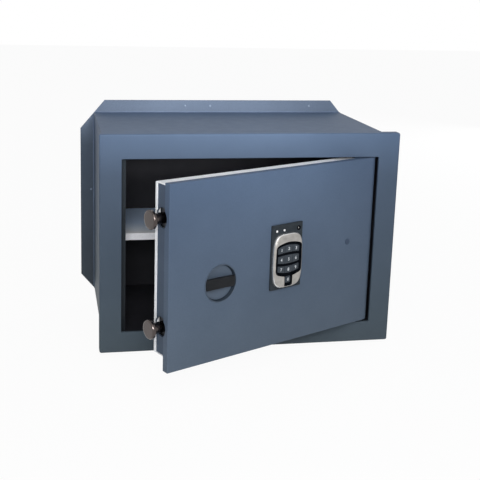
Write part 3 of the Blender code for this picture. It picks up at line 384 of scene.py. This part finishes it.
def piece(name, bm, look, body, replaces=(), place=DOOR, angle=35, more=()):
    """A finished piece: its mesh is put in place, smoothed, painted and set on its body."""
    bmesh.ops.recalc_face_normals(bm, faces=bm.faces)
    mesh = bpy.data.meshes.new(name)
    bm.transform(place)
    bm.to_mesh(mesh)
    bm.free()
    mesh.shade_smooth()
    mesh.set_sharp_from_angle(angle=math.radians(angle))
    for part in (look, *more):
        mesh.materials.append(part.mat)
    obj = new_object(name, mesh)
    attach(obj, body)
    if replaces:
        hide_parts(*replaces)
    return obj


def skin(loops, closed=False, looks=None):
    """Quads between loops with the same count of points, with the ends capped or joined."""
    bm = bmesh.new()
    rows = [[bm.verts.new(point) for point in loop] for loop in loops]
    pairs = list(zip(rows, rows[1:]))
    if closed:
        pairs.append((rows[-1], rows[0]))
    for k, (first, second) in enumerate(pairs):
        count = len(first)
        for i in range(count):
            j = (i + 1) % count
            face = bm.faces.new((first[i], first[j], second[j], second[i]))
            face.material_index = looks[k] if looks else 0
    if not closed:
        bm.faces.new(rows[0])
        bm.faces.new(rows[-1])
    return bm


def lathe(profile, cx, cz, count, closed=False, looks=None):
    """A piece turned about an axis along Y, from (y, radius) pairs."""
    turns = [2 * math.pi / count * i for i in range(count)]
    loops = [[(cx + r * math.cos(t), y, cz + r * math.sin(t)) for t in turns] for y, r in profile]
    return skin(loops, closed, looks)


def quarter(steps):
    """Sines and cosines at even steps of a quarter turn."""
    turns = [math.pi / 2 * k / steps for k in range(steps + 1)]
    return [(math.sin(turn), math.cos(turn)) for turn in turns]


# How near to parallel two lines may be, and how far past its ends a side still counts
PARALLEL, SLACK = 1e-12, 1e-9


def reach(outline, centre, angle):
    """How far a ray from the centre runs inside a closed outline."""
    dx, dy = math.cos(angle), math.sin(angle)
    best = 0.0
    for (x0, y0), (x1, y1) in zip(outline, outline[1:] + outline[:1]):
        ex, ey = x1 - x0, y1 - y0
        cross = dx * ey - dy * ex
        if abs(cross) < PARALLEL:
            continue
        px, py = x0 - centre[0], y0 - centre[1]
        along = (px * ey - py * ex) / cross
        share = (px * dy - py * dx) / cross
        if along > 0 and -SLACK <= share <= 1 + SLACK:
            best = max(best, along)
    return best


def superellipse(cx, cy, wide, tall, power, count):
    """An outline between an ellipse (power 2) and a rectangle."""
    points = []
    for i in range(count):
        c, s = math.cos(2 * math.pi * i / count), math.sin(2 * math.pi * i / count)
        r = (abs(c / wide) ** power + abs(s / tall) ** power) ** (-1 / power)
        points.append((cx + r * c, cy + r * s))
    return points


def bend(points, start, corner, end, steps=6):
    """Adds a rounded corner from start to end."""
    start, corner, end = Vector(start), Vector(corner), Vector(end)
    for k in range(steps + 1):
        t = k / steps
        points.append(tuple(start * (1 - t) ** 2 + corner * (2 * t * (1 - t)) + end * t**2))


# A corner blunter than this stays as it is, and a fillet takes at most this share of a side
BLUNT = math.radians(150)
SIDE_SHARE = 0.48


def rounded_corners(points, radius, steps=4):
    """Rounds the sharper corners of a closed outline."""
    result = []
    count = len(points)
    for i in range(count):
        corner = Vector(points[i])
        a = Vector(points[i - 1]) - corner
        b = Vector(points[(i + 1) % count]) - corner
        if a.angle(b) > BLUNT:
            result.append(tuple(corner))
            continue
        cut = min(radius, a.length * SIDE_SHARE, b.length * SIDE_SHARE)
        start, end = corner + a.normalized() * cut, corner + b.normalized() * cut
        bend(result, start, corner, end, steps)
    return result


def lifted(outline, y):
    """An outline in X and Z, set at a depth."""
    return [(x, y, z) for x, z in outline]


def toward(outline, share):
    """The outline drawn in towards its middle."""
    cx = sum(x for x, _ in outline) / len(outline)
    cz = sum(z for _, z in outline) / len(outline)
    return [(x + (cx - x) * share, z + (cz - z) * share) for x, z in outline]


# ---------------------------------------------------------------- keypad

# The keypad's middle, and its faces from the front to the back
KEYPAD_X, KEYPAD_Z = -0.1563, 0.0011
KEY_FACE = -0.0180
MASK_FACE = -0.0174
KEY_BACK = -0.0157
KEYPAD_FACE = -0.0138
BEZEL_BACK = KEYPAD_FACE - CLEAR

# The key field: its half width, its corners, and the tongue that holds the lowest key
FIELD_HALF = 0.0207
FIELD_MARGIN = 0.0010
FIELD_CORNER = 0.0040
LOW_CORNER = 0.0044
TONGUE_HALF = 0.0062
TONGUE_DEPTH = 0.0383
TONGUE_FILLET = 0.0014
TONGUE_CORNER = 0.0026

# The keys: the height and the bow of the lines above, between and below the rows
ROW_LINES = ((0.0143, 0.0042), (0.0033, 0.0014), (-0.0084, -0.0022), (-0.0196, -0.0040))
LINE_HALF = 0.0015
PITCH_X = 0.0134
KEYS_HALF = 0.0184
KEY_CORNER = 0.0010
HOLE_CORNER = 0.0012
ZERO_Z = KEYPAD_Z - 0.0310
ZERO_HALF_W, ZERO_HALF_H = 0.0047, 0.0048
ZERO_CORNER = 0.0022

# A key cap's sides as (inset, y), and its crown as (share of the way to the middle, rise)
CAP_SIDES = (
    (CLEAR, KEY_BACK),
    (CLEAR, KEY_FACE + 0.0006),
    (0.00045, KEY_FACE + 0.0002),
    (0.0009, KEY_FACE),
)
CAP_CROWN = ((0.35, 0.00012), (0.7, 0.0002), (0.93, 0.00022))

# The digits: their height, half thickness, added stroke width, and place above the key's face
DIGIT_SIZE, DIGIT_THICK, DIGIT_SWELL, DIGIT_RISE = 0.0058, 0.00005, 0.0001, 0.00024


def row_edge(row, x):
    """Height of the line above a row of keys: the lines bow away from the field's middle."""
    share = 1 - min((x / FIELD_HALF) ** 2, 1)
    base, bow = ROW_LINES[row]
    return KEYPAD_Z + base + bow * share


def row_outline(row, left, right, inset=0.0):
    """A stretch of a row of keys, between its bowed lines."""
    left, right = left + inset, right - inset
    steps = 8 if right - left < KEYS_HALF else 18
    top, bottom = [], []
    for i in range(steps + 1):
        x = right + (left - right) * i / steps
        top.append((KEYPAD_X + x, row_edge(row, x) - inset - LINE_HALF))
        bottom.append((KEYPAD_X + x, row_edge(row + 1, x) + inset + LINE_HALF))
    return top + bottom[::-1]


def key_outline(column, row, inset):
    """A key between two bowed lines, given in the door's X and Z."""
    left, right = (column - 1.5) * PITCH_X, (column - 0.5) * PITCH_X
    return row_outline(row, max(left, -KEYS_HALF), min(right, KEYS_HALF), inset)


def field_outline(grow):
    """The key field's outline: bowed top and bottom lines, and the tongue below them."""
    half, neck = FIELD_HALF + grow, TONGUE_HALF + grow
    low = KEYPAD_Z - TONGUE_DEPTH - grow

    def high(x):
        return row_edge(0, x) + FIELD_MARGIN + grow

    def deep(x):
        return row_edge(3, x) - FIELD_MARGIN - grow

    side = []
    run = half - FIELD_CORNER
    for i in range(7):
        side.append((run * i / 7, high(run * i / 7)))
    bend(side, (run, high(run)), (half, high(half)), (half, high(half) - FIELD_CORNER))
    bend(side, (half, deep(half) + LOW_CORNER), (half, deep(half)), (run, deep(run)))
    inner = neck + TONGUE_FILLET
    for i in range(1, 4):
        x = run + (inner - half + FIELD_CORNER) * i / 4
        side.append((x, deep(x)))
    bend(side, (inner, deep(inner)), (neck, deep(neck)), (neck, deep(neck) - TONGUE_FILLET), 4)
    bend(side, (neck, low + TONGUE_CORNER), (neck, low), (neck - TONGUE_CORNER, low))
    right = [(KEYPAD_X + x, z) for x, z in side]
    left = [(KEYPAD_X - x, z) for x, z in side[1:]]
    return right + left[::-1]


def make_key(digit, outline_at):
    """A key cap with a soft edge and a slightly crowned top."""
    loops = [lifted(outline_at(inset), y) for inset, y in CAP_SIDES]
    rim = outline_at(CAP_SIDES[-1][0])
    for share, rise in CAP_CROWN:
        loops.append(lifted(toward(rim, share), KEY_FACE - rise))
    key = f"key_{digit}"
    piece(f"key_cap_{digit}", skin(loops), KEY_SLATE, key, (key,))


def digit_mark(digit, x, z):
    """A pale printed digit that stands a hair above its key."""
    curve = bpy.data.curves.new(f"digit_{digit}", "FONT")
    curve.body = str(digit)
    curve.size = DIGIT_SIZE
    curve.align_x = "CENTER"
    curve.align_y = "CENTER"
    curve.extrude = DIGIT_THICK
    curve.offset = DIGIT_SWELL
    curve.resolution_u = 6
    curve.materials.append(KEY_INK.mat)
    obj = new_object(f"digit_{digit}", curve)
    spot = Matrix.Translation((x, KEY_FACE - DIGIT_RISE, z))
    obj.matrix_world = DOOR @ (spot @ Matrix.Rotation(math.pi / 2, 4, "X"))
    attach(obj, f"key_{digit}")


def zero_outline(inset):
    """The lowest key, by itself in the field's tongue."""
    w, h = ZERO_HALF_W - inset, ZERO_HALF_H - inset
    corners = [(KEYPAD_X + a * w, ZERO_Z + b * h) for a, b in ((1, 1), (-1, 1), (-1, -1), (1, -1))]
    return rounded_corners(corners, ZERO_CORNER, 6)


def make_keys():
    """Three rows of three keys, and the lowest key."""
    for digit in range(1, 10):
        row, column = divmod(digit - 1, 3)

        def outline_at(inset, column=column, row=row):
            return rounded_corners(key_outline(column, row, inset), KEY_CORNER)

        make_key(digit, outline_at)
        # An outer key ends at KEYS_HALF, so its middle is less than a pitch from the centre
        x = (column - 1) * (PITCH_X / 2 + KEYS_HALF) / 2
        digit_mark(digit, KEYPAD_X + x, (row_edge(row, x) + row_edge(row + 1, x)) / 2)
    make_key(0, zero_outline)
    digit_mark(0, KEYPAD_X, ZERO_Z)


# The bezel: its outline, the point that its rays start from, and its section
BEZEL_Z = KEYPAD_Z - 0.005
BEZEL_HALF_W, BEZEL_HALF_H = 0.025, 0.0371
BEZEL_POWER = 4.0
RAY_CENTRE = (KEYPAD_X, KEYPAD_Z - 0.008)
RAYS = 160
RAY_GAP = 0.004
RIM_HEIGHT, SWELL_HEIGHT, SWELL_RUN = 0.0011, 0.0039, 0.0062
FACE_SHARES = (0.0, 0.04, 0.1, 0.18, 0.28, 0.4, 0.55, 0.7, 0.85, 1.0)
FACE_END = 0.0014
# The bezel's outer rows that take the painted highlight
HIGHLIGHT_ROWS = 3

# The bezel's inner edge: distance from the opening, and drop below the swell
INNER_EDGE = ((0.0010, 0.0004), (0.0003, 0.0014), (0.0, 0.0020))


def swell(run):
    """The bezel's height at a distance from its outer edge."""
    fall = 1 - min(run / SWELL_RUN, 1)
    return RIM_HEIGHT + SWELL_HEIGHT * math.sqrt(1 - fall * fall)


def ray_angles(outline):
    """The angles of the rays: even ones, and one to each point of the outline."""
    cx, cz = RAY_CENTRE
    angles = {round(math.atan2(z - cz, x - cx), 5) for x, z in outline}
    angles |= {round(-math.pi + 2 * math.pi * i / RAYS, 5) for i in range(RAYS)}
    spread = sorted(angles)
    return [a for i, a in enumerate(spread) if i == 0 or a - spread[i - 1] > RAY_GAP]


def make_bezel():
    """A silver shell that swells up from a low rim, with an opening for the key field; its outer
    rows take a lighter silver as a painted highlight.
    """
    cx, cz = RAY_CENTRE
    outer = superellipse(KEYPAD_X, BEZEL_Z, BEZEL_HALF_W, BEZEL_HALF_H, BEZEL_POWER, RAYS)
    inner = field_outline(CLEAR)
    rays = [(a, reach(outer, RAY_CENTRE, a), reach(inner, RAY_CENTRE, a)) for a in ray_angles(inner)]

    def loop_at(share, step, drop=None):
        """Points a share of the way in, to a step short of the opening. No drop is the foot."""
        points = []
        for a, far, near in rays:
            r = far + (near + step - far) * share
            height = 0.0 if drop is None else swell(far - r) - drop
            points.append((cx + r * math.cos(a), BEZEL_BACK - height, cz + r * math.sin(a)))
        return points

    loops = [loop_at(0, 0)]
    loops += [loop_at(share, FACE_END, 0.0) for share in FACE_SHARES]
    silver = len(loops) - 1 - HIGHLIGHT_ROWS
    loops += [loop_at(1, step, drop) for step, drop in INNER_EDGE]
    loops.append(loop_at(1, 0.0))
    black = len(loops) - silver - HIGHLIGHT_ROWS
    shell = skin(loops, closed=True, looks=[1] * HIGHLIGHT_ROWS + [0] * silver + [2] * black)
    edges = (EDGE_PAINTED_HIGHLIGHT, MASK_BLACK)
    piece("bezel_shell", shell, SILVER, "door", ("keypad_bezel",), angle=50, more=edges)


# The mask: its back, the size of its edge, and the depths that its holes are cut between
MASK_BACK = BEZEL_BACK - 0.0008
MASK_EDGE, MASK_DRAW = 0.0002, 0.012
CUT_FRONT, CUT_BACK = -0.03, -0.0135


def make_mask():
    """The black field behind the keys, whose lines show between them."""
    outline = field_outline(0.0)
    loops = [lifted(outline, MASK_BACK), lifted(outline, MASK_FACE + MASK_EDGE)]
    loops.append(lifted(toward(outline, MASK_DRAW), MASK_FACE))
    mask = piece("key_field", skin(loops), MASK_BLACK, "door", ("key_mask",))
    cut = bmesh.new()
    for row in range(3):
        add_prism(cut, rounded_corners(row_outline(row, -KEYS_HALF, KEYS_HALF), HOLE_CORNER))
    add_prism(cut, zero_outline(0.0))
    cut_out(mask, cut)


def add_prism(bm, outline):
    """A block of the outline's shape that passes right through the mask."""
    rows = [[bm.verts.new(point) for point in lifted(outline, y)] for y in (CUT_FRONT, CUT_BACK)]
    for i in range(len(outline)):
        j = (i + 1) % len(outline)
        bm.faces.new((rows[0][i], rows[0][j], rows[1][j], rows[1][i]))
    bm.faces.new(rows[0])
    bm.faces.new(rows[1])


def cut_out(obj, bm):
    """Cuts a hidden shape out of a piece and applies the cut."""
    bmesh.ops.recalc_face_normals(bm, faces=bm.faces)
    mesh = bpy.data.meshes.new("cutter")
    bm.transform(DOOR)
    bm.to_mesh(mesh)
    bm.free()
    tool = new_object("cutter", mesh)
    cut = obj.modifiers.new("cut", "BOOLEAN")
    cut.operation = "DIFFERENCE"
    cut.solver = "EXACT"
    cut.object = tool
    graph = bpy.context.evaluated_depsgraph_get()
    result = bpy.data.meshes.new_from_object(obj.evaluated_get(graph))
    obj.modifiers.clear()
    obj.data = result
    result.set_sharp_from_angle(angle=math.radians(35))
    bpy.data.objects.remove(tool)


# The lamps and the contact socket, in a row along the plate's top
TOP_ROW_Z = KEYPAD_Z + 0.0362
PLATE_LEFT = KEYPAD_X - 0.02645
LAMP_XS = (PLATE_LEFT + 0.0082, PLATE_LEFT + 0.0209)
SOCKET_X = PLATE_LEFT + 0.0460
SOCKET_FACE = KEYPAD_FACE - 0.0006
SEAT = KEYPAD_FACE + 0.0023
LAMP_R, LAMP_RISE, LAMP_TIP = 0.0015, 0.0009, 0.0001


def make_lamps():
    """Two domed lamp lenses."""
    for i, x in enumerate(LAMP_XS):
        profile = [(SEAT, LAMP_R)]
        for sine, cosine in quarter(6):
            profile.append((KEYPAD_FACE - LAMP_RISE * sine, max(LAMP_R * cosine, LAMP_TIP)))
        lens = lathe(profile, x, TOP_ROW_Z, 32)
        piece(f"lens_{i + 1}", lens, LAMP, "door", (f"status_lamp_{i + 1}",), angle=60)


def make_socket():
    """The contact socket's stepped ring, and the pin inside it."""
    profile = [
        (SEAT, 0.0031),
        (SOCKET_FACE + 0.0004, 0.0031),
        (SOCKET_FACE, 0.0027),
        (SOCKET_FACE, 0.0021),
        (SOCKET_FACE + 0.0003, 0.0018),
        (SOCKET_FACE + 0.0016, 0.0016),
        (SEAT, 0.0016),
    ]
    ring = lathe(profile, SOCKET_X, TOP_ROW_Z, 40, closed=True)
    piece("socket_ring", ring, MASK_BLACK, "door", ("contact_socket",), angle=40)
    profile = [
        (KEYPAD_FACE + 0.0021, 0.0010),
        (SOCKET_FACE + 0.0010, 0.0010),
        (SOCKET_FACE + 0.0008, 0.0008),
        (SOCKET_FACE + 0.0007, 0.0002),
    ]
    pin = lathe(profile, SOCKET_X, TOP_ROW_Z, 24)
    piece("socket_pin", pin, ZINC, "door")


# ---------------------------------------------------------------- handle

# The cup: its centre, radius, bore and faces
HANDLE = DOOR.inverted() @ Vector(JOINTS["handle_turn"]["pos_m"])
HANDLE_R = 0.0248
SPINDLE_R = 0.004
DOOR_FACE = -0.011
CUP_FACE = DOOR_FACE - 0.0006
CUP_BACK = CUP_FACE + 0.0088
BACK_EDGE = 0.0004

# The cup's section from its rim inwards: depth behind its face, and distance inside its radius
CUP_RIM = ((0.0004, 0.0), (0.0001, 0.0001), (0.0, 0.0004), (0.0, 0.0007), (0.0002, 0.0009))
CUP_WALL = (0.0050, 0.0012)
CUP_GROOVE = ((0.0054, 0.0014), (0.0054, 0.0020), (0.0050, 0.0022))
DISH_STEPS = 12
DISH_EDGE, DISH_DEPTH, DISH_FALL = 0.0025, 0.0048, 0.0021
HUB_R, HUB_DEPTH = 0.0085, 0.0070

# The grip bar: its half width, and its section as (inset, depth behind the cup's face)
BAR_HALF = 0.0074
BAR_R = HANDLE_R - CUP_WALL[1] - CLEAR
BAR_SECTION = (
    (0.0012, 0.0066),
    (0.0006, 0.0036),
    (0.0004, 0.0010),
    (0.0005, 0.0004),
    (0.0009, 0.0001),
    (0.0016, 0.0),
    (0.0035, -0.0001),
    (0.0055, -0.0002),
)
BAR_END_STEPS = 12


def make_dish():
    """A dished cup with a thin rim, and a wall and a groove round its floor painted dark as painted
    shade.
    """
    bore = SPINDLE_R + CLEAR
    profile = [(CUP_BACK, bore), (CUP_BACK, HANDLE_R - BACK_EDGE), (CUP_BACK - BACK_EDGE, HANDLE_R)]
    profile += [(CUP_FACE + depth, HANDLE_R - inside) for depth, inside in (*CUP_RIM, CUP_WALL)]
    painted = len(profile) - 2
    profile += [(CUP_FACE + depth, HANDLE_R - inside) for depth, inside in CUP_GROOVE]
    for i in range(1, DISH_STEPS + 1):
        run = i / DISH_STEPS
        y = CUP_FACE + DISH_DEPTH + DISH_FALL * math.sin(math.pi / 2 * run) ** 1.5
        profile.append((y, (HANDLE_R - DISH_EDGE) * (1 - run) + HUB_R * run))
    profile.append((CUP_FACE + HUB_DEPTH, bore))
    # Painted shade: the wall row takes the dark wall paint and the groove rows the darker groove
    # paint
    looks = [0] * painted + [2] + [1] * len(CUP_GROOVE) + [0] * (DISH_STEPS + 2)
    cup = lathe(profile, HANDLE.x, HANDLE.z, 128, closed=True, looks=looks)
    stands_for = ("handle_cup",)
    shades = (GROOVE_PAINTED_SHADE, CUP_WALL_PAINTED_SHADE)
    piece("handle_dish", cup, DISH_PAINT, "handle", stands_for, angle=40, more=shades)


def make_grip():
    """The bar across the cup, with ends that follow the cup's round wall."""
    loops = []
    for inset, depth in BAR_SECTION:
        r, half = BAR_R - inset, BAR_HALF - inset
        half_angle = math.asin(half / r)
        points = []
        for start in (0.0, math.pi):
            for k in range(BAR_END_STEPS + 1):
                turn = start - half_angle + 2 * half_angle * k / BAR_END_STEPS
                points.append((HANDLE.x + r * math.cos(turn), HANDLE.z + r * math.sin(turn)))
        loops.append(lifted(points, CUP_FACE + depth))
    piece("grip", skin(loops), GRIP_BLACK, "handle", ("grip_bar",), angle=30)


# ---------------------------------------------------------------- welds and trim

# The body's outer faces and the back plate's front face
WALL_X, WALL_Z, PLATE_FRONT = 0.2035, 0.1465, -0.0033
CORNERS = ((-1, -1), (1, -1), (1, 1), (-1, 1))

# The weld's width, its clearance, and its ripples and slow sway along a side
WELD_LEG, WELD_GAP = 0.0017, 0.00008
WELD_STEPS = 120
RIPPLES, RIPPLE_SIZE = 40, 0.10
SWAY_TURN, SWAY_SIZE = 23, 0.08

# The plug welds: their size, and their places above, below and at the sides
PLUG_R, PLUG_RISE, PLUG_GAP = 0.0017, 0.0008, 0.0001
PLUG_XS, PLUG_Z = (-0.0574, -0.0163, 0.1499), 0.1572
SIDE_PLUG_X, SIDE_PLUG_Z = 0.2085, 0.0216


def weld_width(side, i):
    """The weld's share of its full width at a step along a side. It is thin at the corners."""
    t = i / WELD_STEPS
    ripple = RIPPLE_SIZE * math.sin(2 * math.pi * RIPPLES * t + side)
    sway = SWAY_SIZE * math.sin(SWAY_TURN * t + side)
    return (1 + ripple + sway) * min(0.25 + 0.25 * min(i, WELD_STEPS - i), 1)


def make_weld_line():
    """The weld along the corner between the body and its back plate, painted lighter than the body
    as a painted highlight.
    """
    section = []
    for sine, cosine in quarter(4):
        section.append((WELD_LEG * (1 - sine) + WELD_GAP, WELD_LEG * (1 - cosine) + WELD_GAP))
    section.append((WELD_GAP, WELD_GAP))
    rings = []
    for out, back in section:
        ring = []
        for side, (ax, az) in enumerate(CORNERS):
            bx, bz = CORNERS[(side + 1) % 4]
            for i in range(WELD_STEPS):
                t = i / WELD_STEPS
                proud = out if out <= WELD_GAP else out * weld_width(side, i)
                x, z = ax + (bx - ax) * t, az + (bz - az) * t
                ring.append((x * (WALL_X + proud), PLATE_FRONT - back, z * (WALL_Z + proud)))
        rings.append(ring)
    line = skin(rings, closed=True)
    piece("weld_line", line, WELD, "safe_body", place=Matrix(), angle=60)


def make_weld_dots():
    """Small domed plug welds that hold the back plate's rim, painted much lighter than the body as a
    painted highlight.
    """
    places = [(x, z) for x in PLUG_XS for z in (PLUG_Z, -PLUG_Z)]
    places += [(-SIDE_PLUG_X, SIDE_PLUG_Z), (SIDE_PLUG_X, SIDE_PLUG_Z)]
    for i, (x, z) in enumerate(places):
        profile = []
        for sine, cosine in quarter(6):
            profile.append((PLATE_FRONT - PLUG_GAP - PLUG_RISE * sine, PLUG_R * cosine + PLUG_GAP))
        dot = lathe(profile, x, z, 20)
        name = f"plug_weld_{i + 1}"
        piece(name, dot, PLUG_WELD_PAINTED_HIGHLIGHT, "safe_body", place=Matrix(), angle=60)


# ---------------------------------------------------------------- stage

CAMERA_PLACE = (-0.27655, -1.44878, 0.35211)
CAMERA_RIGHT = (0.98250, -0.18441, 0.02636)
CAMERA_FORWARD = (0.18578, 0.95957, -0.21144)
CAMERA_LENS, CAMERA_SENSOR = 68.123, 36.0
CAMERA_SHIFT = (0.0417, -0.125)
FLOOR_HALF, FLOOR_GAP = 6, 0.0005


def make_camera():
    """The photograph's viewing angle: from the left and above, with a small lens shift."""
    right = Vector(CAMERA_RIGHT).normalized()
    forward = Vector(CAMERA_FORWARD).normalized()
    up = right.cross(forward).normalized()
    right = forward.cross(up)
    data = bpy.data.cameras.new("camera")
    data.lens = CAMERA_LENS
    data.sensor_width = CAMERA_SENSOR
    data.shift_x, data.shift_y = CAMERA_SHIFT
    data.clip_start, data.clip_end = 0.05, 20
    camera = new_object("camera", data)
    turn = Matrix((right, up, -forward)).transposed().to_4x4()
    camera.matrix_world = Matrix.Translation(CAMERA_PLACE) @ turn
    bpy.context.scene.camera = camera


def lamp(name, data, power, place, target):
    """Sets a lamp in its place, aimed at its target."""
    data.energy = power
    obj = new_object(name, data)
    obj.location = place
    aim = Vector(target) - Vector(place)
    obj.rotation_euler = aim.to_track_quat("-Z", "Y").to_euler()


def area(name, place, target, size, power):
    """A soft box of light."""
    data = bpy.data.lights.new(name, "AREA")
    data.shape = "RECTANGLE"
    data.size, data.size_y = size
    lamp(name, data, power, place, target)


def make_lights():
    """Soft boxes in front, by the camera, at the left and behind, and a spot along the top."""
    area("front_box", (0.0, -1.5, 1.05), (0.0, -0.26, 0.0), (1.0, 1.0), 9.5)
    area("eye_box", (-0.32, -1.55, 0.5), (-0.1, -0.26, 0.0), (0.35, 0.35), 7.4)
    area("left_box", (-1.3, -1.2, 0.4), (0.0, -0.26, 0.0), (0.8, 1.0), 0.6)
    area("rear_box", (1.7, 1.3, 0.3), (0.0, 0.0, 0.0), (1.0, 1.0), 20)
    spot = bpy.data.lights.new("soft_spot", "SPOT")
    spot.spot_size = math.radians(18)
    spot.spot_blend = 1.0
    spot.shadow_soft_size = 0.15
    lamp("soft_spot", spot, 124, (0.0, -1.8, 0.5), (-0.02, -0.1, 0.27))


def white_for_camera(tree, shade, white, share):
    """Shows white to camera, glossy and see-through rays, and the lit shade to the rest."""
    path = tree.nodes.new("ShaderNodeLightPath")
    seen = path.outputs["Is Camera Ray"]
    for name in ("Is Glossy Ray", "Is Transmission Ray"):
        either = tree.nodes.new("ShaderNodeMath")
        either.operation = "MAXIMUM"
        tree.links.new(seen, either.inputs[0])
        tree.links.new(path.outputs[name], either.inputs[1])
        seen = either.outputs[0]
    part = tree.nodes.new("ShaderNodeMath")
    part.operation = "MULTIPLY"
    tree.links.new(seen, part.inputs[0])
    part.inputs[1].default_value = share
    mix = tree.nodes.new("ShaderNodeMixShader")
    tree.links.new(part.outputs[0], mix.inputs[0])
    tree.links.new(shade, mix.inputs[1])
    tree.links.new(white, mix.inputs[2])
    return mix.outputs[0]


def make_world():
    """A dim, slightly cool sky that shows as white."""
    world = bpy.data.worlds.new("studio")
    bpy.context.scene.world = world
    world.use_nodes = True
    tree = world.node_tree
    dim = tree.nodes["Background"]
    dim.inputs["Color"].default_value = (0.93, 0.96, 1.0, 1)
    dim.inputs["Strength"].default_value = 0.2
    white = tree.nodes.new("ShaderNodeBackground")
    white.inputs["Color"].default_value = (1, 1, 1, 1)
    white.inputs["Strength"].default_value = 1.0
    seen = white_for_camera(tree, dim.outputs[0], white.outputs[0], 1.0)
    tree.links.new(seen, tree.nodes["World Output"].inputs[0])


def make_floor():
    """A pale sheet under the safe that keeps its soft shadow."""
    low = cad_box[0].z - FLOOR_GAP
    bm = bmesh.new()
    bmesh.ops.create_grid(bm, x_segments=1, y_segments=1, size=FLOOR_HALF)
    bmesh.ops.translate(bm, verts=bm.verts, vec=(0, 0, low))
    mesh = bpy.data.meshes.new("floor")
    bm.to_mesh(mesh)
    bm.free()
    look = Look("pale_floor", rough=0.8)
    clouds = [(0.3, (0.86, 0.86, 0.865)), (0.7, (0.88, 0.88, 0.885))]
    look.colour(look.ramp(look.noise(3, 3), clouds))
    glow = look.add("ShaderNodeEmission")
    glow.inputs["Strength"].default_value = 1.0
    seen = white_for_camera(look.tree, look.shader.outputs[0], glow.outputs[0], 0.95)
    look.link(seen, look.tree.nodes["Material Output"].inputs[0])
    mesh.materials.append(look.mat)
    new_object("floor", mesh)


bpy.context.scene.view_settings.view_transform = "Standard"
make_camera()
make_lights()
make_world()
make_floor()
dress_nodes()
make_bezel()
make_mask()
make_keys()
make_lamps()
make_socket()
make_dish()
make_grip()
make_weld_line()
make_weld_dots()
